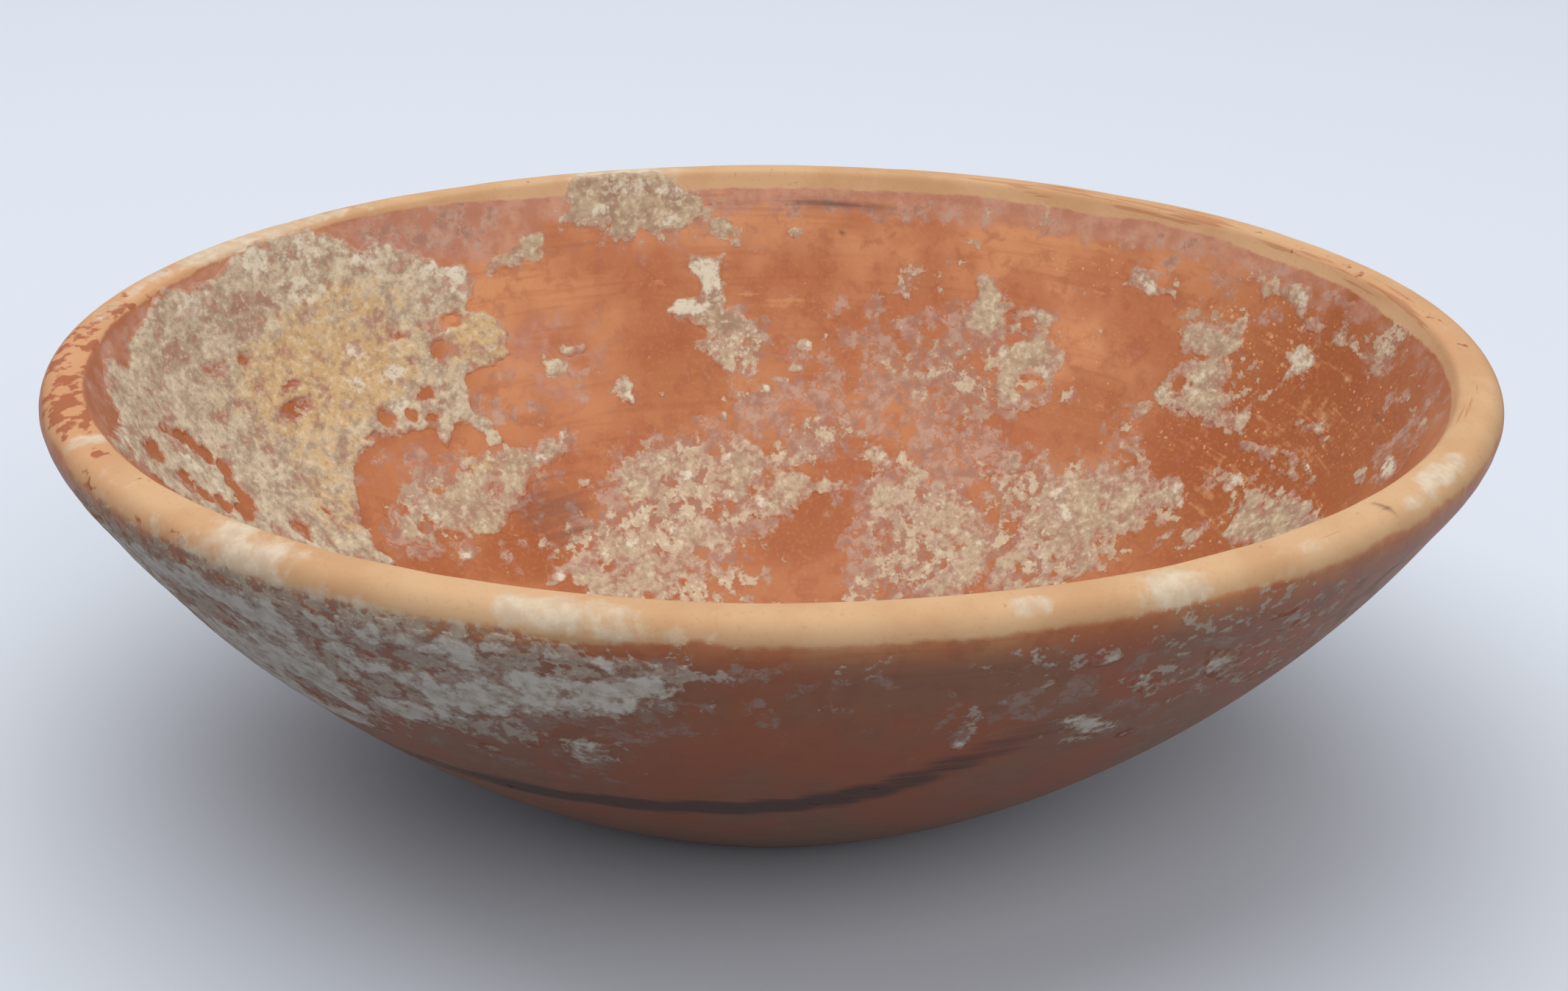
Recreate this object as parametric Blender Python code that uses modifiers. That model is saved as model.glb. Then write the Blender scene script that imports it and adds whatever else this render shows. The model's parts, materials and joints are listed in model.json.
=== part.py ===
"""A hand-shaped earthenware bowl with a burnished slip, and the lime crust that burial left on it.

The bowl is one fired piece that stands on a small flat foot. Each patch of crust is a thin flake of
its own that lies on the wall. Metres, +Z up, with the origin in the middle of the foot, on the
surface that the bowl stands on. Azimuths run anticlockwise seen from above: 0 is +X, 90 is the
back, 180 the left and 270 the front.
"""

import math

import bmesh
import bpy
import numpy as np

# Driving dimensions of the bowl
rim_radius = 0.0792
height = 0.0485
foot_radius = 0.026
floor_thickness = 0.005
wall_at_foot = 0.0068
wall_at_lip = 0.0058
lip_outer_round = 0.0025
lip_inner_round = 0.0008
foot_edge_round = 0.0006

# The curve of the outer wall: its slope from the horizontal at each end, and how far each end keeps
# its direction, as a share of the straight line between them
foot_slope_degrees = 22.7
rim_slope_degrees = 59.1
foot_hold_share = 0.332
rim_hold_share = 0.325
foot_slope = math.radians(foot_slope_degrees)
rim_slope = math.radians(rim_slope_degrees)

# The floor inside: how far it stays level, and how far it rises along the wall's own direction,
# both as shares of its width
floor_level_share = 0.5
floor_rise_share = 0.15

# The lip's rounds, which a thin wall makes smaller
outer_round = min(lip_outer_round, wall_at_lip / 2)
inner_round = min(lip_inner_round, wall_at_lip / 4)
outer_lip_centre = np.array([rim_radius - outer_round, height - outer_round])

# The lime crust: its distance from the wall, the share of its thickness that is left at its edge,
# and two thicknesses
crust_gap = 0.0003
crust_edge_share = 0.4
thick_crust = 0.0012
thin_crust = 0.0007

# How finely the round shapes are divided
turns_of_body = 80
wall_steps = 10
floor_steps = 5
lip_steps = 5
corner_steps = 3
surface_samples = 240
steps_per_outline_point = 2
most_ring_width = 0.006

# Outlines of the crust. Each point is an azimuth in degrees and a distance down the surface from
# the top of the lip, in steps of one millimetre.
outline_step = 0.001
inside_crust = {
    "crust_left_wall": (
        thick_crust,
        [
            (124.5, 12), (127.5, 8.6), (132, 5.2), (138, 2.4), (146, 2), (155, 3.4), (164, 4.8),
            (174, 4.6), (182, 5), (185.5, 8), (183.5, 14), (182.5, 20), (180, 27), (176, 32),
            (171, 39), (166.5, 41), (162, 36.5), (157, 33), (151, 29.5), (144, 29.5), (138.5, 33),
            (132, 29.5), (129.5, 25.5), (124.5, 22.5), (125.5, 17),
        ],
    ),
    "crust_left_streak": (
        thin_crust,
        [
            (187.8, 6.6), (192, 6.2), (197, 4.8), (200.5, 3), (200.8, 5.2), (198, 7.6), (193, 9.4),
            (188, 9.6),
        ],
    ),
    "crust_left_lower_wall": (
        thin_crust,
        [
            (120, 35.4), (124.5, 36), (129, 36.4), (134, 36), (139.5, 36.4), (145, 37.2),
            (150.5, 38), (156, 39.4), (159.5, 41.6), (155.5, 44), (149.5, 45.6), (144, 46.8),
            (137, 46), (130.5, 44.4), (125, 42), (121, 38.8),
        ],
    ),
    "crust_floor_back_left": (
        thin_crust,
        [
            (116, 45.5), (114.5, 42), (110, 40), (105, 39.6), (100, 40.6), (96.5, 38.4),
            (92.5, 39.2), (90.5, 42), (90.4, 45.5), (92.5, 48.6), (97, 49.4), (103, 48.6),
            (108, 48.4), (113, 48.8),
        ],
    ),
    "crust_floor_left": (
        thin_crust,
        [
            (137, 60), (134, 56), (128, 53.5), (121, 52.2), (114, 51.8), (107, 51.4), (100, 52.4),
            (96, 54.8), (97, 58), (103, 61), (111, 62.5), (120, 63), (129, 62.5),
        ],
    ),
    "crust_floor_back": (
        thin_crust,
        [
            (88.4, 41.5), (85, 38.6), (81, 37), (77.5, 38), (76.4, 41), (77, 44.5), (80.5, 47),
            (84, 48.5), (86, 51), (88.6, 49), (88.2, 45),
        ],
    ),
    "crust_floor_back_right": (
        thin_crust,
        [
            (74, 40.4), (71, 41), (67, 42.6), (62.5, 44.2), (57.5, 45.5), (54.5, 47.5), (53.8, 51),
            (56, 55), (61, 57), (66.5, 56), (70, 52), (71.5, 48), (73.4, 44.5),
        ],
    ),
    "crust_floor_right_spot": (
        thin_crust,
        [
            (56, 41), (54, 39), (50.5, 36.6), (47.6, 35.4), (47, 37.4), (49.5, 39.4), (52, 41.5),
            (54.5, 42.5),
        ],
    ),
    "crust_floor_right": (
        thin_crust,
        [
            (46.5, 39.4), (42, 38.2), (38, 36.4), (33, 35.6), (28.5, 33.6), (24.5, 31.8),
            (20.5, 33.4), (19, 36.6), (21.5, 40.4), (25, 42.4), (25, 45.6), (22, 48.4), (26, 52),
            (32, 55.5), (38, 53.6), (42, 50), (44.5, 46), (46, 42.5),
        ],
    ),
    "crust_floor_right_low": (
        thin_crust,
        [
            (50.6, 49.4), (46.8, 49.4), (44.4, 52.4), (41, 56), (42, 59.5), (46.5, 61.5),
            (51.5, 60.5), (51.4, 55),
        ],
    ),
    "crust_right_wall": (
        thin_crust,
        [
            (38.6, 20.4), (35.4, 18.6), (34.6, 15), (33.6, 11), (31.4, 10.8), (31, 14),
            (29.6, 17.6), (27.6, 20), (24, 20.6), (22.3, 22.6), (22.5, 24.4), (28, 25), (33, 25.2),
            (37, 25), (39, 23),
        ],
    ),
    "crust_right_spot": (
        thin_crust,
        [
            (24.2, 12), (22.5, 10.4), (19, 10.2), (18.6, 12.4), (18.4, 14.6), (20.5, 15.6),
            (22.4, 15.8), (22.6, 13.6),
        ],
    ),
    "crust_right_under_lip": (
        thin_crust,
        [
            (34, 4.6), (30.5, 5), (27, 4.4), (24.5, 5.4), (21, 7.2), (22.4, 9.2), (25.5, 8.2),
            (28.5, 7.2), (31.5, 7.6), (34.4, 6.4),
        ],
    ),
    "crust_back_right_wall": (
        thin_crust,
        [
            (67.2, 14), (64.5, 12.8), (62.4, 15), (59, 16.2), (55.8, 17.2), (54.6, 19.6), (53, 22),
            (52.2, 25), (51.4, 29), (54.5, 31), (58, 29.6), (60.5, 27), (62, 23.6), (64.5, 20.8),
            (66.8, 18),
        ],
    ),
    "crust_back_right_spot": (
        thin_crust,
        [
            (49, 8.8), (46.4, 8.4), (44.6, 9.8), (42.8, 9.8), (43.4, 11.4), (46, 11.8), (49, 10.8),
        ],
    ),
    "crust_back_rim": (
        thin_crust,
        [
            (112.5, 3.2), (109, 1.8), (104, 1.6), (100, 2.6), (97, 4.4), (96.6, 6.6), (99, 8.6),
            (103, 9.4), (106, 8), (109.5, 6.8), (113, 6.2),
        ],
    ),
    "crust_back_rim_trail": (
        thin_crust,
        [
            (115.4, 8.4), (118, 7.4), (120.4, 8.6), (122.8, 11), (121.8, 12.2), (119.6, 11.2),
            (117, 11.4), (115.6, 10.4),
        ],
    ),
    "crust_back_streak": (
        thin_crust,
        [
            (99.4, 12), (97, 11.6), (95.2, 12.6), (95.6, 16), (95.4, 19), (94, 21.4), (93.4, 23.4),
            (96, 24), (98.4, 22.4), (101, 21.2), (102.6, 19.8), (100.6, 18.4), (98.8, 17),
            (99.2, 14.6),
        ],
    ),
    "crust_far_right_upper": (
        thin_crust,
        [
            (13.4, 24), (11.5, 22.2), (8, 21.2), (4, 20.8), (1, 21.6), (2.5, 23), (6.5, 23.8),
            (10, 24.8),
        ],
    ),
    "crust_far_right_lower": (
        thin_crust,
        [
            (11, 27.8), (7.5, 26.8), (4, 26), (0, 25), (-4, 24), (-8, 23.4), (-9, 26), (-6, 30),
            (-1, 33.4), (4, 33), (7.5, 34.2), (9.4, 32), (10.6, 30),
        ],
    ),
    "crust_far_right_streak": (
        thin_crust,
        [
            (15.6, 18.4), (13.5, 17.4), (11, 16.6), (8, 16.8), (6.4, 18.4), (9, 19), (12, 18.8),
            (14.4, 19.4),
        ],
    ),
    "crust_front_right_upper": (
        thin_crust,
        [
            (-7, 12.4), (-10, 10.8), (-13.6, 10.6), (-14.8, 12), (-12.5, 13.4), (-9, 13.8),
        ],
    ),
    "crust_front_right_lower": (
        thin_crust,
        [
            (-3.2, 16), (-5, 15), (-7.6, 15.2), (-8.2, 16.6), (-6.4, 17.6), (-4, 17.4),
        ],
    ),
    "crust_front_wall_left": (
        thin_crust,
        [
            (216, 14), (223, 10), (231, 11), (239, 8.6), (246, 12), (244, 19), (249, 25), (243, 31),
            (235, 28), (228, 33), (220, 29), (217, 21),
        ],
    ),
    "crust_front_wall_right": (
        thin_crust,
        [
            (292, 22), (298, 17), (306, 19), (313, 15), (320, 20), (317, 28), (321, 36), (312, 39),
            (304, 34), (296, 31),
        ],
    ),
    "crust_floor_front": (
        thin_crust,
        [
            (198, 64), (214, 59), (232, 61), (248, 56), (264, 59), (281, 55), (298, 59), (314, 65),
            (302, 73), (282, 71), (262, 75), (240, 72), (218, 75), (203, 71),
        ],
    ),
}
outside_crust = {
    "crust_outside_left_front": (
        thick_crust,
        [
            (264.2, 8.4), (263.4, 12), (260, 15.2), (253.5, 17.2), (248, 20), (243, 23.5),
            (239, 26), (236.4, 25), (236, 20), (236.2, 13), (238, 9), (246, 8), (255, 8),
        ],
    ),
    "crust_outside_left_back": (
        thick_crust,
        [
            (233.6, 9), (234, 14), (233.6, 22), (234, 30), (230, 33.5), (222, 35), (214, 32),
            (208, 26), (203, 19), (202, 13), (207, 9.4), (216, 8.4), (226, 8),
        ],
    ),
    "crust_outside_front_spot": (
        thin_crust,
        [
            (258, 22.5), (255.5, 21.4), (253, 23), (252.8, 26), (254.6, 28.4), (256.6, 26),
        ],
    ),
    "crust_outside_right_lower": (
        thin_crust,
        [
            (291.5, 20), (294, 19), (297.4, 21.8), (299.8, 25.2), (297, 25.8), (293.5, 23.6),
        ],
    ),
    "crust_outside_right_upper": (
        thin_crust,
        [
            (296.6, 12.4), (299, 13.6), (300.6, 17), (298.8, 18), (296.8, 15.4),
        ],
    ),
    "crust_outside_right_side": (
        thin_crust,
        [
            (302.6, 12), (305.4, 13.2), (308.6, 17), (311, 21), (307.6, 20.6), (304, 16.6),
        ],
    ),
    "crust_outside_far_right": (
        thin_crust,
        [
            (8, 13), (16, 9.6), (27, 11), (35, 15), (33, 21), (38, 27), (30, 31), (21, 27),
            (13, 29), (7, 21),
        ],
    ),
    "crust_outside_back": (
        thin_crust,
        [
            (108, 16), (102, 12), (93, 13.4), (84, 11.6), (76, 16), (73, 23), (79, 28), (87, 26),
            (94, 32), (101, 29), (105, 23),
        ],
    ),
    "crust_outside_back_left": (
        thin_crust,
        [
            (168, 14), (161, 11), (152, 13), (146, 18), (149, 25), (156, 23), (163, 28), (169, 22),
        ],
    ),
}


def along(angle):
    """The direction at an angle above the horizontal, as a distance from the axis and a height."""
    return np.array([math.cos(angle), math.sin(angle)])


def bezier(start, start_handle, end_handle, end, steps):
    """Points along a cubic curve from start to end, and the curve's direction at each."""
    share = np.linspace(0, 1, steps + 1)[:, None]
    rest = 1 - share
    first = start_handle - start
    second = end_handle - start_handle
    third = end - end_handle
    middle_share = share**2 * (3 - 2 * share)
    points = start + first * (1 - rest**3) + second * middle_share + third * share**3
    heading = rest**2 * first + 2 * rest * share * second + share**2 * third
    return points, heading / np.linalg.norm(heading, axis=1)[:, None]


def arc(centre, radius, first_angle, last_angle, steps):
    """Points along an arc."""
    angles = np.linspace(first_angle, last_angle, steps + 1)
    return np.array([centre + radius * along(angle) for angle in angles])


def outer_wall(steps):
    """The outside of the wall, from the foot's edge up to the lip's round, and its direction."""
    start = np.array([foot_radius, 0])
    end = outer_lip_centre + outer_round * along(rim_slope - math.pi / 2)
    reach = math.dist(start, end)
    start_handle = start + foot_hold_share * reach * along(foot_slope)
    end_handle = end - rim_hold_share * reach * along(rim_slope)
    return bezier(start, start_handle, end_handle, end, steps)


def inner_wall(steps):
    """The inside of the wall, which is the outside moved in by the wall's thickness."""
    outside, heading = outer_wall(steps)
    inward = np.stack([-heading[:, 1], heading[:, 0]], axis=1)
    thickness = np.linspace(wall_at_foot, wall_at_lip, steps + 1)
    return outside + inward * thickness[:, None]


def lip_corner():
    """The small round where the inside of the wall turns over into the top of the lip."""
    end = inner_wall(1)[-1]
    first_angle = rim_slope + math.pi / 2
    start_height = height - inner_round + inner_round * math.sin(first_angle)
    start = end + along(rim_slope) * (start_height - end[1]) / math.sin(rim_slope)
    centre = start - inner_round * along(first_angle)
    return arc(centre, inner_round, first_angle, math.pi / 2, corner_steps)


def inside_line(steps):
    """The inside surface in section, from the top of the lip down to the middle of the floor."""
    wall = inner_wall(steps)
    width = wall[0][0]
    middle = np.array([0, floor_thickness])
    level_handle = middle + np.array([floor_level_share * width, 0])
    rise_handle = wall[0] - floor_rise_share * width * along(foot_slope)
    floor = bezier(middle, level_handle, rise_handle, wall[0], floor_steps)[0]
    corner = lip_corner()
    wall = wall[wall[:, 1] < corner[0][1] - inner_round / 2]
    return np.concatenate([floor[:-1], wall, corner])[::-1]


def outside_line(steps):
    """The outside surface in section, from the top of the lip down to the edge of the foot."""
    lip = arc(outer_lip_centre, outer_round, math.pi / 2, rim_slope - math.pi / 2, lip_steps)
    wall = outer_wall(steps)[0][::-1]
    edge_start = wall[-1] + foot_edge_round * along(foot_slope)
    edge_end = wall[-1] - foot_edge_round * along(0)
    return np.concatenate([lip[:-1], wall[:-1], [edge_start, edge_end]])


def material(name, colour, roughness):
    """A plain surface with no metal in it."""
    made = bpy.data.materials.new(name)
    made.use_nodes = True
    shader = made.node_tree.nodes["Principled BSDF"]
    shader.inputs["Base Color"].default_value = (*colour, 1)
    shader.inputs["Roughness"].default_value = roughness
    shader.inputs["Metallic"].default_value = 0
    return made


def add_object(name, mesh, surface):
    """Puts a mesh into the bowl's collection as one named piece."""
    mesh.materials.append(surface)
    piece = bpy.data.objects.new(name, mesh)
    bowl_collection.objects.link(piece)
    return piece


def add_body(surface):
    """The fired bowl: half its section, turned once round the axis."""
    section = np.concatenate([inside_line(wall_steps)[::-1], outside_line(wall_steps), [[0, 0]]])
    mesh = bpy.data.meshes.new("bowl_body")
    points = [(radius, 0, level) for radius, level in section]
    mesh.from_pydata(points, [(i, i + 1) for i in range(len(points) - 1)], [])
    body = add_object("bowl_body", mesh, surface)
    turn = body.modifiers.new("turn", "SCREW")
    turn.axis = "Z"
    turn.angle = math.tau
    turn.steps = turns_of_body
    turn.render_steps = turns_of_body
    turn.use_merge_vertices = True
    turn.merge_threshold = 1e-5
    turn.use_smooth_shade = True


def smooth_outline(points):
    """A closed curve through the points, with a few steps from each to the next."""
    ring = np.array(points, float)
    before = np.roll(ring, 1, axis=0)
    after = np.roll(ring, -1, axis=0)
    second = np.roll(ring, -2, axis=0)
    curve = []
    for share in np.arange(steps_per_outline_point) / steps_per_outline_point:
        curve.append(
            ring
            + share * (after - before) / 2
            + share**2 * (before - 2.5 * ring + 2 * after - second / 2)
            + share**3 * (1.5 * (ring - after) + (second - before) / 2)
        )
    return np.stack(curve, axis=1).reshape(-1, 2)


def crust_seat(line, side):
    """A function that turns an azimuth and a distance down from the lip into a point that stands
    off one side of the wall by the crust's gap. The side is 1 inside and -1 outside."""
    steps = np.diff(line, axis=0)
    run = np.concatenate([[0], np.cumsum(np.linalg.norm(steps, axis=1))])
    heading = np.gradient(line, run, axis=0)
    away = side * np.stack([heading[:, 1], -heading[:, 0]], axis=1)
    seat = line + crust_gap * away / np.linalg.norm(away, axis=1)[:, None]

    def place(azimuth, down):
        radius = np.interp(down, run, seat[:, 0])
        level = np.interp(down, run, seat[:, 1])
        return radius * math.cos(azimuth), radius * math.sin(azimuth), level

    return place


def turns_anticlockwise(curve):
    """True where a closed curve in azimuth and distance down turns anticlockwise from above."""
    across, down = curve[:, 0], curve[:, 1]
    return np.dot(across, np.roll(down, -1)) > np.dot(np.roll(across, -1), down)


def add_crust(name, thickness, outline, surface, place, side):
    """A flake that follows the wall. Its underside is a fan of rings, and it thins to its edge."""
    curve = smooth_outline(outline) * np.array([math.radians(1), outline_step])
    if turns_anticlockwise(curve) != (side > 0):
        curve = curve[::-1]
    middle = curve.mean(axis=0)
    widths = [math.dist(place(*point), place(*middle)) for point in curve]
    rings = max(2, math.ceil(sum(widths) / len(widths) / most_ring_width))
    flake = bmesh.new()
    crown = flake.verts.layers.deform.verify()
    hub = flake.verts.new(place(*middle))
    hub[crown][0] = 1
    inner_ring = None
    for ring_number in range(1, rings + 1):
        share = ring_number / rings
        ring = [flake.verts.new(place(*(middle + share * (point - middle)))) for point in curve]
        for vertex in ring:
            vertex[crown][0] = 1 - (1 - crust_edge_share) * share**3
        for i, vertex in enumerate(ring):
            following = (i + 1) % len(ring)
            if inner_ring is None:
                flake.faces.new((hub, vertex, ring[following]))
            else:
                corners = (inner_ring[i], vertex, ring[following], inner_ring[following])
                flake.faces.new(corners)
        inner_ring = ring
    mesh = bpy.data.meshes.new(name)
    flake.to_mesh(mesh)
    flake.free()
    mesh.shade_smooth()
    piece = add_object(name, mesh, surface)
    piece.vertex_groups.new(name="crown")
    shell = piece.modifiers.new("thickness", "SOLIDIFY")
    shell.thickness = thickness
    shell.offset = 1
    shell.vertex_group = "crown"
    shell.use_even_offset = True


for old in list(bpy.data.objects):
    bpy.data.objects.remove(old)
bowl_collection = bpy.data.collections.new("burnished_bowl")
bpy.context.scene.collection.children.link(bowl_collection)

red_slip = material("burnished red slip", (0.48, 0.17, 0.08), 0.42)
lime_crust = material("grey-buff lime crust", (0.56, 0.43, 0.27), 0.95)

add_body(red_slip)
sides = (
    (1, crust_seat(inside_line(surface_samples), 1), inside_crust),
    (-1, crust_seat(outside_line(surface_samples), -1), outside_crust),
)
for side, place, flakes in sides:
    for name, (thickness, outline) in flakes.items():
        add_crust(name, thickness, outline, lime_crust, place, side)
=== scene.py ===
# %% [markdown]
# # A burnished bowl, dressed over its solids
# This lesson dresses a small earthenware bowl. The solids come from a frame that never changes:
# one turned body, and one plain flake for each patch of lime that burial left on it. Here the body
# gets a surface fine enough for its dents and its paint, and each flake becomes a gritty crust with
# a torn edge. Everything is worked out on the wall itself, in two coordinates: an azimuth in
# degrees, and a distance in millimetres down the wall from the top of the lip.

# %% Load the frame
import itertools
import json
import math

import bpy
import numpy as np
from mathutils import Matrix, Vector


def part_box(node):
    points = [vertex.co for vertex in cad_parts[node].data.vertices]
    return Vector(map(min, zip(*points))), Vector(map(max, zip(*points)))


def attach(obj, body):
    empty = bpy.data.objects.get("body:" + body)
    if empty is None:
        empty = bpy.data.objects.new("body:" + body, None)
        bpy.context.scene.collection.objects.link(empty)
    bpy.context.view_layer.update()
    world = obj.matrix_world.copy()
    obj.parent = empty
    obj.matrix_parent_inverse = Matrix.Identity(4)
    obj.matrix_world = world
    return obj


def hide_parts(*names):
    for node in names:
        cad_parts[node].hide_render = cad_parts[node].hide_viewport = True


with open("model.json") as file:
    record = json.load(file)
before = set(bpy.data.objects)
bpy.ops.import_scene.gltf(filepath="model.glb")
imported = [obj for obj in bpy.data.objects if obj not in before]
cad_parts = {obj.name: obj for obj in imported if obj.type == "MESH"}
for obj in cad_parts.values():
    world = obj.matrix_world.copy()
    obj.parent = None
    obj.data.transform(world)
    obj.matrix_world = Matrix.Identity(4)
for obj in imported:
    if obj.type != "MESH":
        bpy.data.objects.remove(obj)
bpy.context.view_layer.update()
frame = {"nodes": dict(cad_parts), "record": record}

MM = 0.001
bowl_low, bowl_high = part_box("bowl_body")
print("the bowl is", round((bowl_high.x - bowl_low.x) / MM, 1), "mm across")

# %% [markdown]
# ## The camera
# A photograph is matched with a camera of the same place, aim and focal length. An unturned camera
# looks straight down. So it is rolled about its own view, tipped up by a right angle less its pitch,
# and swung round by its yaw. The lens follows from the focal length in pixels.

# %% Camera
PICTURE_WIDTH = 2132
FOCAL_LENGTH_PIXELS = 4299.9
SENSOR_WIDTH_MM = 36
NEAREST_SEEN = 0.01
camera_place = Vector((0, -0.33216, 0.15544))
yaw, pitch, roll = 0.0042, 0.3599, 0.0061

camera_data = bpy.data.cameras.new("camera")
camera_data.sensor_width = SENSOR_WIDTH_MM
camera_data.lens = SENSOR_WIDTH_MM * FOCAL_LENGTH_PIXELS / PICTURE_WIDTH
camera_data.clip_start = NEAREST_SEEN
camera = bpy.data.objects.new("camera", camera_data)
camera.matrix_world = (
    Matrix.Translation(camera_place)
    @ Matrix.Rotation(-yaw, 4, "Z")
    @ Matrix.Rotation(math.pi / 2 - pitch, 4, "X")
    @ Matrix.Rotation(roll, 4, "Z")
)
bpy.context.scene.collection.objects.link(camera)
bpy.context.scene.camera = camera
print("lens", round(camera_data.lens, 1), "mm, looking down", round(math.degrees(pitch), 1), "degrees")

# %% [markdown]
# ## Small helpers for materials
# A material is a chain of nodes. These helpers add one node, fill its inputs in order and hand back
# its first output, so that a recipe reads from top to bottom.

# %% Adding nodes
def feed(tree, socket, source):
    """Links a socket to another one, or sets it to a plain value."""
    if isinstance(source, bpy.types.NodeSocket):
        tree.links.new(source, socket)
    elif source is not None:
        socket.default_value = source


def add(tree, kind, *sources, **options):
    """Adds a node, sets its options, fills its inputs in order and gives its first output."""
    node = tree.nodes.new(kind)
    for name, value in options.items():
        setattr(node, name, value)
    for socket, source in zip(node.inputs, sources):
        feed(tree, socket, source)
    return node.outputs[0]


def new_material(name):
    """An empty material with its tree and its shader."""
    made = bpy.data.materials.new(name)
    made.use_nodes = True
    return made, made.node_tree, made.node_tree.nodes["Principled BSDF"]


# %% [markdown]
# ## Shares
# Most of a recipe decides how much of something lies at a place: a share from 0 to 1. It comes from
# noise, or from a number that is painted on the mesh point by point, and best from both, because
# noise can tear the soft edge of what was painted.

# %% Shares
def maths(tree, operation, *sources):
    return add(tree, "ShaderNodeMath", *sources, operation=operation)


def part_of(tree, share, most):
    return maths(tree, "MULTIPLY", share, most)


def between(tree, value, low, high):
    """0 below low, 1 above high, and a smooth rise from one to the other."""
    return add(tree, "ShaderNodeMapRange", value, low, high, interpolation_type="SMOOTHSTEP")


def grain(tree, size, place, detail=2.0, roughness=0.5):
    """Random values round 0.5, in lumps of about this many millimetres."""
    return add(tree, "ShaderNodeTexNoise", place, None, 1 / (size * MM), detail, roughness)


def painted(tree, name):
    """A number that was painted on the mesh, point by point."""
    node = tree.nodes.new("ShaderNodeAttribute")
    node.attribute_name = name
    return node.outputs["Fac"]


def broken(tree, name, noise, force, low, high):
    """A painted number that noise tears at its edge: 0 to 1, the harder the nearer low is to high."""
    centred = maths(tree, "SUBTRACT", noise, 0.5)
    torn = maths(tree, "MULTIPLY_ADD", centred, force, painted(tree, name))
    return between(tree, torn, low, high)


# %% [markdown]
# ## Colours
# Colours are written as they look on a screen, from 0 to 255, and turned into the light values that
# a shader works with. A finish is then made as a painter would make it, by laying one coat over
# another, each thicker in some places than in others.

# %% Colours
MIX_SHARE, MIX_UNDER, MIX_OVER, MIX_RESULT = 0, 6, 7, 2


def tint(red, green, blue):
    """A colour as it looks on a screen, turned into the shader's own values."""
    screen = np.array([red, green, blue]) / 255
    light = np.where(screen <= 0.04045, screen / 12.92, ((screen + 0.055) / 1.055) ** 2.4)
    return (*[float(value) for value in light], 1.0)


def mix(tree, share, under, over):
    """One colour where the share is 0, and another where it is 1."""
    node = tree.nodes.new("ShaderNodeMix")
    node.data_type = "RGBA"
    feed(tree, node.inputs[MIX_SHARE], share)
    for socket, colour in ((MIX_UNDER, under), (MIX_OVER, over)):
        feed(tree, node.inputs[socket], tint(*colour) if isinstance(colour, tuple) else colour)
    return node.outputs[MIX_RESULT]


def coat(tree, colour, tone, share, most):
    """Lays a tone over a colour by a share, and nowhere by more than the most."""
    return mix(tree, part_of(tree, share, most), colour, tone)


def two_tones(tree, noise, low, high, first, second):
    """A noise picks between two tones, and mixes them where it lies between low and high."""
    return mix(tree, between(tree, noise, low, high), first, second)


print("a screen red of 211 is", round(tint(211, 146, 101)[0], 2), "in light")

# %% [markdown]
# ## Relief and place
# A bump changes only how a surface is shaded, so it suits what is finer than the mesh: strokes, sand
# and the edge of a thin film. All noise is read at the point's own place on the bowl. The lumps on
# this bowl are a little longer from front to back than they are wide, so that direction is drawn in.

# %% Relief and place
LUMP_SHAPE = np.array([1, 0.68, 1])


def bumps(tree, height, depth, before=None):
    """Lets a pattern raise the surface by this many millimetres, in its shading only."""
    node = tree.nodes.new("ShaderNodeBump")
    node.inputs["Distance"].default_value = depth * MM
    feed(tree, node.inputs["Height"], height)
    feed(tree, node.inputs["Normal"], before)
    return node.outputs["Normal"]


def surface_place(tree):
    """Where a point lies on the bowl, drawn in from front to back by the shape of the lumps."""
    place = tree.nodes.new("ShaderNodeTexCoord").outputs["Object"]
    return add(tree, "ShaderNodeVectorMath", place, LUMP_SHAPE, operation="MULTIPLY")


# %% [markdown]
# ## The stage
# The bowl stands on a plain pale floor under one broad lamp and a weaker one in front, as in a
# studio. A pale floor throws much light up at the underside, which would wash out the deep red
# there. So the floor shows its pale colour to the camera and a darker one to the light that bounces
# off it. The world behind it does the same.

# %% Floor and world
FLOOR_SIZE = 8
PALE_STAGE = (214, 219, 227)
DARK_FLOOR = (120, 124, 132)
DARK_WORLD = (150, 154, 160)


def pale_to_camera(tree, dark):
    """Pale where the camera looks straight or by a mirror, and dark for light that bounces."""
    path = tree.nodes.new("ShaderNodeLightPath")
    seen = maths(tree, "MAXIMUM", path.outputs["Is Camera Ray"], path.outputs["Is Glossy Ray"])
    return mix(tree, seen, dark, PALE_STAGE)


bpy.ops.mesh.primitive_plane_add(size=FLOOR_SIZE)
floor = bpy.context.object
floor.name = "floor"
floor_paint, tree, shader = new_material("studio floor")
feed(tree, shader.inputs["Base Color"], pale_to_camera(tree, DARK_FLOOR))
shader.inputs["Roughness"].default_value = 0.9
floor.data.materials.append(floor_paint)

world = bpy.context.scene.world or bpy.data.worlds.new("world")
bpy.context.scene.world = world
world.use_nodes = True
sky = world.node_tree.nodes["Background"]
feed(world.node_tree, sky.inputs["Color"], pale_to_camera(world.node_tree, DARK_WORLD))
sky.inputs["Strength"].default_value = 1.0
print("stage of", len(bpy.data.materials), "material and a world")


# %% Lamps
def add_lamp(name, place, aim, size, power):
    """A square lamp that faces a point."""
    data = bpy.data.lights.new(name, "AREA")
    data.size = size
    data.energy = power
    lamp = bpy.data.objects.new(name, data)
    lamp.location = place
    lamp.rotation_euler = (Vector(aim) - Vector(place)).to_track_quat("-Z", "Y").to_euler()
    bpy.context.scene.collection.objects.link(lamp)


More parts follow.
